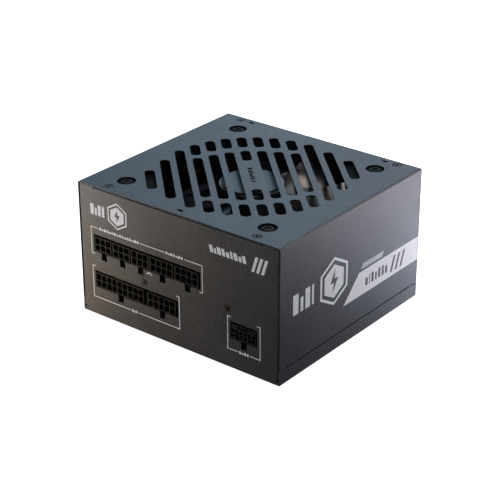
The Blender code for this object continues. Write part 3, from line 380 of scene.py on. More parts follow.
# ------------------------------------------------------------------ looks of the CAD pieces
NODE_LOOK = {
    "top_cover": "paint_cover", "base_tray": "paint",
    "fan_frame": "fan_frame", "fan_rotor": "fan", "hub_label": "label",
    "fan_shaft": "steel", "fan_bearing": "bronze", "fan_stator": "coil",
    "fan_magnet_ring": "magnet", "modular_board": "pcb_mod", "main_board": "pcb_main",
    "supervisor_board": "pcb_sup", "insulator_film": "film", "air_guide": "clear",
    "ac_inlet_body": "black", "switch_housing": "black", "switch_rocker": "rocker",
    "bulk_capacitor": "sleeve", "film_capacitor": "filmcap",
    "primary_heatsink": "alu", "secondary_heatsink": "alu", "power_busbar": "busbar",
    "main_transformer": "ferrite", "standby_transformer": "ferrite",
    "pfc_choke": "ferrite", "emi_choke": "ferrite",
    "ac_wire_line": "brown", "ac_wire_neutral": "blue", "fan_cable": "dark",
}
PREFIX_LOOK = {  # the first prefix that fits wins
    "cover_screw": "oxide_cover", "fan_screw": "oxide_in_shade", "modular_screw": "oxide",
    "inlet_screw": "zinc", "board_screw": "steel", "modular_standoff": "brass",
    "socket_16pin": "socket", "socket_": "socket_row", "inlet_pin": "tin",
    "output_capacitor": "sleeve",
}
EDGE_WIDTHS = {
    "top_cover": 0.12, "base_tray": 0.12, "fan_frame": 0.5, "ac_inlet_body": 0.35,
    "switch_housing": 0.3, "switch_rocker": 0.35, "main_transformer": 0.4,
    "standby_transformer": 0.3, "film_capacitor": 0.3, "primary_heatsink": 0.2,
    "secondary_heatsink": 0.2,
}
SOCKET_EDGE = 0.15


def look_of(name):
    if name in NODE_LOOK:
        return NODE_LOOK[name]
    for prefix, look in PREFIX_LOOK.items():
        if name.startswith(prefix):
            return look
    raise KeyError(name)


def dress(name, ob):
    """Give a CAD piece its material, welded vertices and softened edges."""
    ob.data.materials.clear()
    ob.data.materials.append(M[look_of(name)])
    weld = ob.modifiers.new("weld", "WELD")
    weld.merge_threshold = 1e-6
    width = EDGE_WIDTHS.get(name, SOCKET_EDGE if name.startswith("socket_") else 0.0)
    if width:
        edge = ob.modifiers.new("edge", "BEVEL")
        edge.width = width * MM
        edge.segments = 2
        edge.limit_method = "ANGLE"
        edge.angle_limit = math.radians(40)
        edge.harden_normals = False
        edge.use_clamp_overlap = True


for name, ob in NODES.items():
    dress(name, ob)


# ------------------------------------------------------------------ geometry helpers
def at(x=0.0, y=0.0, z=0.0):
    return Matrix.Translation(Vector((x, y, z)) * MM)


def box_mm(node):
    return (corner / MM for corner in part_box(node))


def add_mesh(name, bm, mat, body="case", smooth=35.0):
    """Turn bm into an object riding on body; edges sharper than smooth degrees stay sharp."""
    mesh = bpy.data.meshes.new(name)
    bm.to_mesh(mesh)
    bm.free()
    mesh.materials.append(M[mat])
    ob = bpy.data.objects.new(name, mesh)
    PIECES.objects.link(ob)
    mesh.shade_smooth()
    mesh.set_sharp_from_angle(angle=math.radians(smooth))
    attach(ob, body)
    return ob


def add_block(bm, centre, size):
    matrix = at(*centre) @ Matrix.Diagonal((*(s * MM for s in size), 1))
    return bmesh.ops.create_cube(bm, size=1.0, matrix=matrix)["verts"]


def soft_box(name, low, high, radius, mat, segments):
    """Box between two corners with rounded edges."""
    bm = bmesh.new()
    centre = [(a + b) / 2 for a, b in zip(low, high)]
    add_block(bm, centre, [b - a for a, b in zip(low, high)])
    bmesh.ops.bevel(bm, geom=list(bm.edges), offset=radius * MM, segments=segments,
                    profile=0.5, affect="EDGES")
    return add_mesh(name, bm, mat)


def skin_rings(bm, rings):
    """Faces between neighbouring rings; a ring of one vertex closes on a point."""
    for a, b in zip(rings, rings[1:]):
        count = max(len(a), len(b))
        for i in range(count):
            j = (i + 1) % count
            corners = [a[i % len(a)], b[i % len(b)], b[j % len(b)], a[j % len(a)]]
            corners = list(dict.fromkeys(corners))
            if len(corners) >= 3:
                bm.faces.new(corners)
    bmesh.ops.recalc_face_normals(bm, faces=bm.faces)


def turned(name, profile, segments, cx, cy, mat, body="case"):
    """Body turned about an upright axis at (cx, cy), from (radius, z) points."""
    bm = bmesh.new()
    rings = []
    for radius, z in profile:
        if radius < 1e-6:
            rings.append([bm.verts.new((cx * MM, cy * MM, z * MM))])
            continue
        ring = []
        for i in range(segments):
            angle = 2 * math.pi * i / segments
            x = cx + radius * math.cos(angle)
            y = cy + radius * math.sin(angle)
            ring.append(bm.verts.new((x * MM, y * MM, z * MM)))
        rings.append(ring)
    skin_rings(bm, rings)
    return add_mesh(name, bm, mat, body)


# ------------------------------------------------------------------ flat figures
INK = 0.03  # thickness of a print
LIFT = 0.004  # gap under a print


def flat_shape(name, loops, plane, mat, body="case", thick=INK):
    """Filled outlines with their base on the plane, rising towards its +Z."""
    curve = bpy.data.curves.new(name + "_outline", "CURVE")
    curve.dimensions = "2D"
    curve.fill_mode = "BOTH"
    curve.extrude = thick * MM / 2
    for points in loops:
        spline = curve.splines.new("POLY")
        spline.points.add(len(points) - 1)
        for point, (x, y) in zip(spline.points, points):
            point.co = (x * MM, y * MM, 0, 1)
        spline.use_cyclic_u = True
    outline = bpy.data.objects.new(name + "_outline", curve)
    bpy.context.scene.collection.objects.link(outline)
    bpy.context.view_layer.update()
    depsgraph = bpy.context.evaluated_depsgraph_get()
    mesh = bpy.data.meshes.new_from_object(outline.evaluated_get(depsgraph))
    bpy.data.objects.remove(outline, do_unlink=True)
    bpy.data.curves.remove(curve)
    bm = bmesh.new()
    bm.from_mesh(mesh)
    bpy.data.meshes.remove(mesh)
    bmesh.ops.remove_doubles(bm, verts=bm.verts, dist=1e-7)
    bmesh.ops.recalc_face_normals(bm, faces=bm.faces)
    bm.transform(plane @ Matrix.Translation((0, 0, thick * MM / 2)))
    return add_mesh(name, bm, mat, body, smooth=30.0)


def slant(x0, x1, y0, y1, lean=0.0):
    """Parallelogram whose top is shifted by lean."""
    return [(x0, y0), (x1, y0), (x1 + lean, y1), (x0 + lean, y1)]


def slashes(count, start, pitch, width, y0, y1, lean):
    lefts = [start + pitch * i for i in range(count)]
    return [slant(x, x + width, y0, y1, lean) for x in lefts]


def stroke(points, width):
    """Outline of an open polyline with mitred corners."""
    left, right = [], []
    last = len(points) - 1
    for i, point in enumerate(points):
        if i > 0:
            before = Vector(point) - Vector(points[i - 1])
        else:
            before = Vector(points[1]) - Vector(points[0])
        after = Vector(points[i + 1]) - Vector(point) if i < last else before
        before.normalize()
        after.normalize()
        along = (before + after).normalized()
        across = Vector((-along.y, along.x))
        reach = width / 2 / max(0.3, across.dot(Vector((-before.y, before.x))))
        left.append(tuple(Vector(point) + across * reach))
        right.append(tuple(Vector(point) - across * reach))
    return left + right[::-1]


def ngon(cx, cy, radius, sides, phase=0.0):
    angles = [math.radians(phase) + 2 * math.pi * i / sides for i in range(sides)]
    return [(cx + radius * math.cos(a), cy + radius * math.sin(a)) for a in angles]


# lightning flash: x, y from its centre, in half heights
FLASH = [(0.10, 1.0), (-0.50, -0.12), (-0.06, -0.12), (-0.18, -1.0), (0.50, 0.20), (0.06, 0.20)]


def emblem(prefix, plane, cx, cy, radius):
    """Hexagon ring round a hexagon with a flash cut out of it."""
    ring = [ngon(cx, cy, radius * k, 6, phase=30) for k in (1, 0.88)]
    flat_shape(prefix + "_ring", ring, plane, "ink")
    half = radius * 0.50
    flash = [(cx + half * x, cy + half * y) for x, y in FLASH]
    flat_shape(prefix + "_badge", [ngon(cx, cy, radius * 0.70, 6, phase=30), flash],
               plane, "ink")


def bars(name, plane, x0, x1, y0, y1, widths, gap, mat, lean=0.0):
    """Bars from x0 to x1, cycling through widths; the second of every three is shorter."""
    x, loops = x0, []
    while x < x1 - 0.2:
        width = min(widths[len(loops) % len(widths)], x1 - x)
        top = y1 if len(loops) % 3 != 1 else y0 + (y1 - y0) * 0.72
        loops.append(slant(x, x + width, y0, top, lean * (top - y0) / (y1 - y0)))
        x += width + gap
    flat_shape(name, loops, plane, mat)


def bar_loops(x, widths, gap, y0, y1, short_top, short_turn):
    """Upright bars from x; one in three, starting at short_turn, ends at short_top."""
    loops = []
    for i, width in enumerate(widths):
        loops.append(slant(x, x + width, y0, short_top if i % 3 == short_turn else y1))
        x += width + gap
    return loops


# planes: columns are the figure's x, its y and the outward normal
FRONT = Matrix(((1, 0, 0, 0), (0, 0, -1, 0), (0, 1, 0, 0), (0, 0, 0, 1)))  # out to -Y
SIDE = Matrix(((0, 0, 1, 0), (1, 0, 0, 0), (0, 1, 0, 0), (0, 0, 0, 1)))  # out to +X
REAR = Matrix(((-1, 0, 0, 0), (0, 0, 1, 0), (0, 1, 0, 0), (0, 0, 0, 1)))  # out to +Y
tray_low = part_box("base_tray")[0]
cover_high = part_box("top_cover")[1]
ON_FRONT = Matrix.Translation((0, tray_low.y - LIFT * MM, 0)) @ FRONT
ON_SIDE = Matrix.Translation((cover_high.x + LIFT * MM, 0, 0)) @ SIDE
ON_BAND = Matrix.Translation((INK * MM + LIFT * MM, 0, 0)) @ ON_SIDE

# ------------------------------------------------------------------ prints, connector panel
BRACKET_LINE = 0.56
BRACKETS = {  # x, z along each line
    "upper_left": [(-63.6, 41.6), (-65.9, 41.6), (-65.9, 59.0), (-60.0, 59.0)],
    "upper_mid": [(-27.0, 59.0), (-8.2, 59.0)],
    "upper_right": [(6.8, 59.0), (19.8, 59.0), (19.8, 41.6), (17.6, 41.6)],
    "lower_left": [(-63.6, 33.4), (-65.9, 33.4), (-65.9, 12.4), (-36.4, 12.4)],
    "lower_right": [(-29.6, 12.4), (2.1, 12.4), (2.1, 33.4), (-0.2, 33.4)],
    "side_left": [(40.2, 33.4), (38.0, 33.4), (38.0, 12.5), (45.2, 12.5)],
    "side_right": [(54.0, 12.5), (61.3, 12.5), (61.3, 33.4), (59.0, 33.4)],
}
ROW_MARKS = {  # x0, x1, z0, z1, bar widths, gap
    "a": (-59.2, -28.0, 58.2, 59.9, [1.5, 0.9, 2.1, 1.2], 0.55),
    "b": (-7.4, 6.0, 58.2, 59.9, [1.4, 0.9, 1.8], 0.55),
    "c": (-35.4, -30.6, 11.6, 13.4, [1.3, 1.3, 1.0], 0.45),
    "d": (46.2, 53.2, 11.6, 13.4, [1.4, 1.0, 1.6], 0.5),
}
TICK = [(-22.6, 40.8), (-20.5, 42.0), (-18.4, 40.8)]

emblem("panel_emblem", ON_FRONT, -44.4, 71.0, radius=8.6)
bars("panel_bar_left", ON_FRONT, -65.6, -54.6, 67.4, 74.2, [2.6, 1.4, 2.2], 1.0, "ink")
bars("panel_bar_right", ON_FRONT, 26.0, 52.4, 69.8, 74.2, [2.3, 1.5, 2.6, 1.9], 0.85, "ink",
     lean=-1.0)
sign = slashes(3, start=55.0, pitch=3.4, width=2.0, y0=66.6, y1=76.2, lean=3.0)
flat_shape("panel_sign", sign, ON_FRONT, "ink")
for tag, points in BRACKETS.items():
    flat_shape("bracket_" + tag, [stroke(points, BRACKET_LINE)], ON_FRONT, "ink_white")
for tag, row in ROW_MARKS.items():
    bars("row_mark_" + tag, ON_FRONT, *row, "ink_white")
flat_shape("panel_tick", [stroke(TICK, 0.8)], ON_FRONT, "ink_white")

# ------------------------------------------------------------------ prints, +X side
band_end = cover_high.y / MM - 0.6
band = [(-9.1, 25.75), (band_end, 25.75), (band_end, 41.4), (6.25, 41.4)]
flat_shape("side_band", [band], ON_SIDE, "ink")
BAND_WIDTHS = [2.34, 0.858, 2.262, 1.794, 2.184, 2.028, 2.262]
letters = bar_loops(13.0, BAND_WIDTHS, gap=1.55, y0=30.2, y1=36.6, short_top=35.2, short_turn=0)
flat_shape("band_bars", letters, ON_BAND, "ink_dark")
sign = slashes(3, start=39.0, pitch=5.2, width=2.1, y0=28.4, y1=38.6, lean=3.6)
flat_shape("band_sign", sign, ON_BAND, "ink_dark")
hatch = slashes(13, start=8.1, pitch=1.68, width=0.9, y0=42.9, y1=46.2, lean=2.7)
flat_shape("hatch", hatch, ON_SIDE, "ink")
emblem("side_emblem", ON_SIDE, -19.0, 46.25, radius=15.4)
bars("side_bar", ON_SIDE, -58.0, -38.6, 40.0, 52.6, [5.0, 2.6, 4.4], 1.9, "ink")

# ------------------------------------------------------------------ stamp on the grille
FAN_X = 0.4  # the fan's axis; its y is 0
STAMP_WIDTHS = [2.4, 1.1, 1.8, 1.0, 2.2, 1.2, 1.9, 1.0, 1.6]
k = 1 / math.sqrt(2)  # the stamp lies along +X, -Y
DIAGONAL = Matrix(((k, k, 0, FAN_X * MM), (-k, k, 0, 0), (0, 0, 1, 0), (0, 0, 0, 1)))
ON_GRILLE = Matrix.Translation((0, 0, cover_high.z + LIFT * MM)) @ DIAGONAL
stamp = bar_loops(-10.4, STAMP_WIDTHS, gap=0.85, y0=-1.5, y1=1.5, short_top=0.5, short_turn=1)
flat_shape("grille_stamp", stamp, ON_GRILLE, "ink_black")

# ------------------------------------------------------------------ contacts in the sockets
CONTACT_LENGTH = 4.0
CONTACT_TAPER = 0.45  # tip width over root width
CONTACT_END = 9.35  # +Y end of a contact from the socket's -Y face
HALF_HOUSING = 4.8


def contacts(socket, columns, pitch=4.2, rise=0.0, width=1.07, small_row=False):
    """Two rows of square pins tapering towards -Y; small_row adds four flat ones above."""
    low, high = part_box(socket)
    cx = (low.x + high.x) / 2 / MM
    cz = high.z / MM - HALF_HOUSING + rise
    cy = low.y / MM + CONTACT_END - CONTACT_LENGTH / 2
    bm = bmesh.new()
    for i in range(columns):
        for j in (0, 1):
            x = cx + (i - (columns - 1) / 2) * pitch
            z = cz + (j - 0.5) * pitch
            for vert in add_block(bm, (x, cy, z), (width, CONTACT_LENGTH, width)):
                if vert.co.y < cy * MM:
                    vert.co.x = x * MM + (vert.co.x - x * MM) * CONTACT_TAPER
                    vert.co.z = z * MM + (vert.co.z - z * MM) * CONTACT_TAPER
    if small_row:
        for i in range(4):
            add_block(bm, (cx - 3.0 + 2.0 * i, cy, cz + 4.35), (0.5, CONTACT_LENGTH, 0.35))
    add_mesh("contacts_" + socket.removeprefix("socket_"), bm, "tin")


SOCKET_COLUMNS = {"6pin_1": 3, "6pin_2": 3, "6pin_3": 3, "8pin_1": 4, "8pin_2": 4,
                  "18pin": 9, "10pin": 5}
for tag, columns in SOCKET_COLUMNS.items():
    contacts("socket_" + tag, columns)
contacts("socket_16pin", 6, pitch=3.0, rise=-1.0, width=0.8, small_row=True)

# ------------------------------------------------------------------ impeller
BLADES = 7
SPAN_STEPS, CHORD_STEPS = 14, 18
ROOT_RADIUS, TIP_RADIUS = 19.6, 56.6


def blade_section(bm, blade, radius):
    """Upper and lower vertices across one blade at a radius."""
    out = max(0.0, (radius - 20.0) / 36.8)
    sweep = math.radians(4.0 + 20.0 * out ** 1.5)
    chord = math.radians(46.0 - 7.0 * out)
    z_top, z_low = 79.8 - 0.8 * out, 63.6 + 4.2 * out
    upper, lower = [], []
    for j in range(CHORD_STEPS + 1):
        v = j / CHORD_STEPS
        angle = 2 * math.pi * blade / BLADES + sweep + (0.5 - v) * chord
        x, y = radius * math.cos(angle) * MM, radius * math.sin(angle) * MM
        z = z_top + (z_low - z_top) * (v ** 0.85)
        half = 0.06 + 0.62 * math.sin(math.pi * v) ** 0.45
        upper.append(bm.verts.new((x, y, (z + half) * MM)))
        lower.append(bm.verts.new((x, y, (z - half) * MM)))
    return upper, lower


def impeller_blades():
    """Swept blades as closed, rounded aerofoils."""
    bm = bmesh.new()
    nu, nv = SPAN_STEPS, CHORD_STEPS
    for blade in range(BLADES):
        radii = [ROOT_RADIUS + (TIP_RADIUS - ROOT_RADIUS) * (i / nu) for i in range(nu + 1)]
        up, low = zip(*(blade_section(bm, blade, radius) for radius in radii))
        for i in range(nu):
            for j in range(nv):
                bm.faces.new((up[i][j], up[i][j + 1], up[i + 1][j + 1], up[i + 1][j]))
                bm.faces.new((low[i][j], low[i + 1][j], low[i + 1][j + 1], low[i][j + 1]))
        for i in range(nu):
            bm.faces.new((up[i][0], up[i + 1][0], low[i + 1][0], low[i][0]))
            bm.faces.new((up[i][nv], low[i][nv], low[i + 1][nv], up[i + 1][nv]))
        for j in range(nv):
            bm.faces.new((up[0][j], low[0][j], low[0][j + 1], up[0][j + 1]))
            bm.faces.new((up[nu][j], up[nu][j + 1], low[nu][j + 1], low[nu][j]))
    bmesh.ops.recalc_face_normals(bm, faces=bm.faces)
    bm.transform(at(FAN_X))
    return add_mesh("impeller_blades", bm, "fan", "fan", smooth=50.0)


def impeller_hub():
    """Cup open downwards, with a rounded rim and a bored boss in the middle."""
    radius, top, wall = 20.5, 81.2, 1.6
    inner, ceiling = radius - wall, top - wall
    profile = [(0.0, top), (17.9, top)]
    for degrees in range(0, 91, 15):
        angle = math.radians(degrees)
        profile.append((inner + wall * math.sin(angle), ceiling + wall * math.cos(angle)))
    profile += [(radius, 63.0), (inner, 63.0), (inner, ceiling), (3.4, ceiling), (3.4, 76.6),
                (1.8, 76.6), (1.8, 80.0), (0.0, 80.0)]
    return turned("impeller_hub", profile, 96, FAN_X, 0.0, "fan", "fan")


blade_ob = impeller_blades()
hub_ob = impeller_hub()
for part in (blade_ob, hub_ob):
    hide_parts("fan_rotor")

# ------------------------------------------------------------------ wound ring chokes
STEPS_PER_TURN = 12
SQUARENESS = 4.0  # power of the superellipse each turn follows


def coil(name, centre, major, half_width, half_height, turns, wire, span):
    """Wire wound on a ring whose axis lies along Y, between two angles in degrees."""
    curve = bpy.data.curves.new(name, "CURVE")
    curve.dimensions = "3D"
    curve.bevel_depth = wire * MM
    curve.bevel_resolution = 2
    curve.use_fill_caps = True
    steps = turns * STEPS_PER_TURN
    spline = curve.splines.new("POLY")
    spline.points.add(steps)
    for i, point in enumerate(spline.points):
        t = i / steps
        around = math.radians(span[0] + (span[1] - span[0]) * t - 90.0)
        turn = 2 * math.pi * turns * t
        ca, sa = math.cos(turn), math.sin(turn)
        k = (abs(ca) ** SQUARENESS + abs(sa) ** SQUARENESS) ** (-1 / SQUARENESS)
        radius = major + half_width * k * ca
        x = centre[0] + radius * math.cos(around)
        y = centre[1] + half_height * k * sa
        z = centre[2] + radius * math.sin(around)
        point.co = (x * MM, y * MM, z * MM, 1)
    ob = bpy.data.objects.new(name, curve)
    curve.materials.append(M["enamel"])
    PIECES.objects.link(ob)
    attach(ob, "case")


def ring_core(name, centre, outer, inner, half):
    """Ring with its axis along Y and chamfered edges."""
    cut, segments = 0.6, 48
    profile = [  # radius, y from the centre
        (outer, -half + cut), (outer, half - cut), (outer - cut, half), (inner + cut, half),
        (inner, half - cut), (inner, -half + cut), (inner + cut, -half), (outer - cut, -half)]
    bm = bmesh.new()
    rings = []
    for radius, y in profile:
        ring = []
        for i in range(segments):
            angle = 2 * math.pi * i / segments
            x = centre[0] + radius * math.cos(angle)
            z = centre[2] + radius * math.sin(angle)
            ring.append(bm.verts.new((x * MM, (centre[1] + y) * MM, z * MM)))
        rings.append(ring)
    skin_rings(bm, rings + rings[:1])
    return add_mesh(name, bm, "ferrite")


def choke(tag, wire, turns, windings):
    """Core and windings (name: angles) filling the CAD choke; wire is the wire's radius."""
    node = tag + "_choke"
    low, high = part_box(node)
    centre = (low + high) / 2 / MM
    outer = (high.x - low.x) / 2 / MM
    half = (high.y - low.y) / 2 / MM
    bore = outer * 0.42
    core = ring_core(tag + "_core", centre, outer - 2 * wire - 0.35, bore,
                     half - 2 * wire - 0.5)
    far, near = outer - wire - 0.02, bore - wire - 0.12
    for name, span in windings.items():
        coil(name, centre, (far + near) / 2, (far - near) / 2, half - wire - 0.05,
             turns, wire, span)
    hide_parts(node)


choke("pfc", wire=0.62, turns=44, windings={"pfc_winding": (14, 346)})
choke("emi", wire=0.5, turns=15,
      windings={"emi_winding_1": (14, 166), "emi_winding_2": (194, 346)})

# ------------------------------------------------------------------ parts on the main board
TAPES = {  # name: transformer, inset in x, bottom and top over its base, radius, segments
    "transformer_tape": ("main_transformer", 6.6, 10.2, 27.8, 3.2, 4),
    "standby_tape": ("standby_transformer", 2.1, 4.6, 13.9, 2.2, 3),
}
for name, (node, inset, bottom, top, radius, segments) in TAPES.items():
    low, high = box_mm(node)
    soft_box(name, (low.x + inset, low.y + 0.02, low.z + bottom),
             (high.x - inset, high.y - 0.02, low.z + top), radius, "tape", segments)


def capacitor_top(node):
    """Bare metal disc in the sleeve's top with two crossed score lines."""
    low, high = box_mm(node)
    cx, cy, radius = (low.x + high.x) / 2, (low.y + high.y) / 2, (high.x - low.x) / 2
    z = high.z - 0.5
    profile = [(0.0, z + 0.12), (radius * 0.80, z + 0.12), (radius * 0.83, z + 0.02),
               (0.0, z + 0.02)]
    turned(node + "_top", profile, 40, cx, cy, "alu")
    width = 0.25 if radius < 8 else 0.45
    for j in range(2):
        angle = math.radians(45 + 90 * j)
        dx, dy = radius * 0.6 * math.cos(angle), radius * 0.6 * math.sin(angle)
        line = stroke([(cx - dx, cy - dy), (cx + dx, cy + dy)], width)
        flat_shape(f"{node}_score_{j + 1}", [line], at(z=z + 0.125 + 0.05 * j), "ink_dark",
                   thick=0.04)


for node in ("bulk_capacitor", "output_capacitor_1", "output_capacitor_2"):
    capacitor_top(node)

# three devices along one face of each heatsink: +X on the primary, -X on the secondary
DEVICE_NEAR, DEVICE_FAR = 0.1, 4.4
for node in ("primary_heatsink", "secondary_heatsink"):
    low, high = box_mm(node)
    if node == "primary_heatsink":
        x0, x1 = high.x + DEVICE_NEAR, high.x + DEVICE_FAR
    else:
        x0, x1 = low.x - DEVICE_FAR, low.x - DEVICE_NEAR
    for j in range(3):
        y = low.y + 7.0 + 17.0 * j
        soft_box(f"{node}_device_{j + 1}", (x0, y, low.z + 6.0), (x1, y + 10.0, low.z + 21.0),
                 0.35, "black", 2)

# small blocks on a 7.5 mm grid, three at each end of the row
for j in (0, 1, 2, 11, 12, 13):
    x, y = -50.0 + 7.5 * j, 45.5 + 3.0 * (j % 3)
    soft_box(f"board_part_{j + 1}", (x, y - 1.2, 8.32), (x + 4.0, y + 1.2, 10.4),
             0.25, "black", 1)

# ------------------------------------------------------------------ marks on the rocker
ROCKER_LENGTH, ROCKER_DEPTH, ROCKER_DISH = 14.8, 3.0, 0.9
ROCKER_TILT = math.radians(-11.0)
MARK_LIFT = 0.12
pivot = next(Vector(joint["pos_m"]) for joint in frame["joints"]
             if joint["name"] == "rocker_tilt")
ROCKER = Matrix.Translation(pivot) @ Matrix.Rotation(ROCKER_TILT, 4, "X")


def on_rocker(z):
    """Plane on the rocker's dished face at height z along it."""
    t = (z + ROCKER_LENGTH / 2) / ROCKER_LENGTH
    depth = ROCKER_DEPTH - ROCKER_DISH * math.sin(math.pi * t)
    slope = math.atan(-ROCKER_DISH * math.pi / ROCKER_LENGTH * math.cos(math.pi * t))
    place = ROCKER @ Matrix.Translation((0, (depth + MARK_LIFT) * MM, z * MM))
    return place @ Matrix.Rotation(-slope, 4, "X") @ REAR


ring = [ngon(0, 0, 1.55, 28), ngon(0, 0, 1.1, 28)]
flat_shape("mark_off", ring, on_rocker(-4.4), "ink_white", "rocker")
flat_shape("mark_on", [slant(-0.26, 0.26, -1.5, 1.5)], on_rocker(4.4), "ink_white", "rocker")


# ------------------------------------------------------------------ floor and world
def floor_material():
    """Glowing pale floor that is clear when seen from below."""
    m = Tree("pale_floor")
    base = m.ramp(m.noise(40.0, detail=3.0), (0.84, 0.84, 0.84), (0.88, 0.88, 0.88))
    m.set(color=base, rough=0.8, spec=0.1)
    m.bsdf.inputs["Emission Color"].default_value = (1, 1, 1, 1)
    m.bsdf.inputs["Emission Strength"].default_value = 1.0
    seen = m.node("MixShader", {
        0: m.node("NewGeometry").outputs["Backfacing"],
        1: m.bsdf.outputs[0],
        2: m.node("BsdfTransparent").outputs[0]})
    m.feed(m.nodes["Material Output"].inputs["Surface"], seen.outputs[0])
    return m.mat


def add_floor():
    """Wide sheet just under the unit, seen only by the camera."""
    z = -0.0002
    mesh = bpy.data.meshes.new("floor")
    mesh.from_pydata([(-8, -8, z), (8, -8, z), (8, 12, z), (-8, 12, z)], [], [(0, 1, 2, 3)])
    floor = bpy.data.objects.new("floor", mesh)
    bpy.context.scene.collection.objects.link(floor)
    floor.data.materials.append(floor_material())
    floor.visible_glossy = False
    floor.visible_diffuse = False
    floor.visible_shadow = False
    floor.visible_transmission = False


def add_world():
    """Faint blue fill for the unit, plain white for the camera."""
    world = bpy.data.worlds.new("studio")
    bpy.context.scene.world = world
    world.use_nodes = True
    nodes, links = world.node_tree.nodes, world.node_tree.links
    fill = nodes["Background"]
    fill.inputs["Color"].default_value = (0.8, 0.85, 0.95, 1)
    fill.inputs["Strength"].default_value = 0.012
    white = nodes.new("ShaderNodeBackground")
    white.inputs["Color"].default_value = (1, 1, 1, 1)
    white.inputs["Strength"].default_value = 1.0
    path = nodes.new("ShaderNodeLightPath")
    mix = nodes.new("ShaderNodeMixShader")
    links.new(path.outputs["Is Camera Ray"], mix.inputs[0])
    links.new(fill.outputs[0], mix.inputs[1])
    links.new(white.outputs[0], mix.inputs[2])
    links.new(mix.outputs[0], nodes["World Output"].inputs["Surface"])


add_floor()
add_world()

# ------------------------------------------------------------------ lights
# azimuth (0 out from the connector panel, 90 out from the +X side) and elevation in degrees,
# distance and disc size in metres, colour, power in watts
LIGHTS = {
    "key_38_15": (38, 15, 1.4, 0.9, (0.860, 1.000, 0.946), 4.90),
    "key_0_35": (0, 35, 1.4, 0.9, (1.000, 0.060, 0.175), 1.371),
    "sheen_30_20": (30, 20, 1.4, 0.9, (0.94, 0.97, 1.000), 4.60),
    "soft_m72_m20": (-72, -20, 0.34, 0.2, (1.000, 0.785, 0.491), 0.966),
    "soft_m73_m20": (-72, -20, 0.34, 0.2, (0.850, 0.800, 0.760), 0.90),
    "soft_m56_0": (-56, 0, 0.34, 0.2, (0.839, 0.871, 1.000), 0.465),
    "soft_136_0": (136, 0, 0.34, 0.2, (1.000, 0.858, 0.869), 0.361),
    "soft_168_m19": (168.3, -18.8, 0.34, 0.2, (0.722, 0.800, 1.000), 1.365),
    "soft_184_18": (184, 18, 0.34, 0.2, (0.791, 0.623, 1.000), 0.047),
    "key_205_20": (205, 20, 1.4, 0.9, (0.712, 0.855, 1.000), 2.208),
    "key_230_20": (230, 20, 1.4, 0.9, (0.500, 0.750, 1.000), 1.95),
    "soft_0_86": (0, 86, 0.4, 0.2, (0.671, 0.893, 1.000), 0.442),
    "soft_38_70": (38, 70, 0.4, 0.2, (0.671, 0.893, 1.000), 0.435),
    "soft_150_70": (150, 70, 0.4, 0.2, (0.671, 0.893, 1.000), 0.345),
    "soft_136_18": (136, 18, 0.4, 0.2, (0.846, 0.862, 1.000), 0.232),
    "glint_174_51": (174, 51, 0.45, 0.12, (1.0, 0.98, 0.95), 0.22),
    "rim_148_34": (148, 34, 1.4, 0.3, (0.90, 0.94, 1.000), 1.4),
}
NO_GLOSS = ("key_38_15", "key_0_35", "soft_m73_m20")
NO_DIFFUSE = ("sheen_30_20", "soft_m72_m20")
MIDDLE_Z = 43.0  # height of the unit's middle, which lamps and camera are placed from


def outward(azimuth, elevation):
    """Unit direction as coordinates, from angles in radians."""
    return Vector((math.sin(azimuth) * math.cos(elevation),
                   -math.cos(azimuth) * math.cos(elevation), math.sin(elevation)))


def softbox(name, azimuth, elevation, distance, size, rgb, power):
    """Disc lamp aimed at the unit's middle."""
    light = bpy.data.lights.new(name, "AREA")
    light.shape = "DISK"
    light.size = size
    light.energy = power
    light.color = rgb
    ob = bpy.data.objects.new(name, light)
    bpy.context.scene.collection.objects.link(ob)
    middle = Vector((0, 0, 0.043))
    place = outward(math.radians(azimuth), math.radians(elevation)) * distance + middle
    ob.location = place
    ob.rotation_euler = (place - middle).to_track_quat("Z", "Y").to_euler()
    ob.visible_camera = False
    return ob


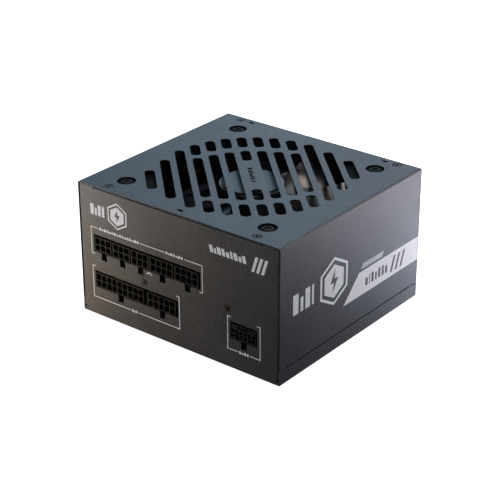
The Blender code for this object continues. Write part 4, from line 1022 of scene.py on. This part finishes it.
def receivers(name, objects, state):
    """Collection for light linking: only these objects, or all but these."""
    group = bpy.data.collections.new(name)
    for i, ob in enumerate(objects):
        group.objects.link(ob)
        group.collection_objects[i].light_linking.link_state = state
    return group


no_duct = receivers("all_but_duct", [NODES["fan_frame"]], "EXCLUDE")
no_blades = receivers("all_but_impeller", [blade_ob, hub_ob], "EXCLUDE")
only_blades = receivers("impeller_only", [blade_ob], "INCLUDE")
for name, (azimuth, elevation, *rest) in LIGHTS.items():
    lamp = softbox(name, azimuth, elevation, *rest)
    lamp.visible_glossy = name not in NO_GLOSS
    lamp.visible_diffuse = name not in NO_DIFFUSE
    if elevation < 20 and abs(azimuth) > 60:
        lamp.light_linking.receiver_collection = no_duct
    elif name == "soft_0_86":
        lamp.light_linking.receiver_collection = no_blades
    elif name == "glint_174_51":
        lamp.light_linking.receiver_collection = only_blades


# ------------------------------------------------------------------ camera
CAMERA_AZIMUTH = math.radians(38.2848560)
CAMERA_ELEVATION = math.radians(26.0526891)
CAMERA_ROLL = math.radians(0.0802125)
# the unit's middle seen from the camera, in mm to the right, down and forward
MIDDLE_FROM_CAMERA = Vector((0.814001895, -6.24078750, 944.985773))


def add_camera():
    forward = -outward(CAMERA_AZIMUTH, CAMERA_ELEVATION)
    level_right = forward.cross(Vector((0, 0, 1))).normalized()
    level_down = forward.cross(level_right)
    ca, sa = math.cos(CAMERA_ROLL), math.sin(CAMERA_ROLL)
    right = ca * level_right + sa * level_down
    down = -sa * level_right + ca * level_down
    axes = Matrix((right, down, forward))
    place = Vector((0, 0, MIDDLE_Z)) - axes.transposed() @ MIDDLE_FROM_CAMERA
    data = bpy.data.cameras.new("camera")
    camera = bpy.data.objects.new("camera", data)
    bpy.context.scene.collection.objects.link(camera)
    turn = Matrix((right, -down, -forward)).transposed().to_4x4()
    camera.matrix_world = Matrix.Translation(place * MM) @ turn
    data.sensor_width = 36.0
    data.lens = 112.31436888
    data.clip_start = 0.05
    data.clip_end = 50.0
    bpy.context.scene.camera = camera


add_camera()
bpy.context.scene.view_settings.view_transform = "Standard"
bpy.context.scene.view_settings.look = "None"
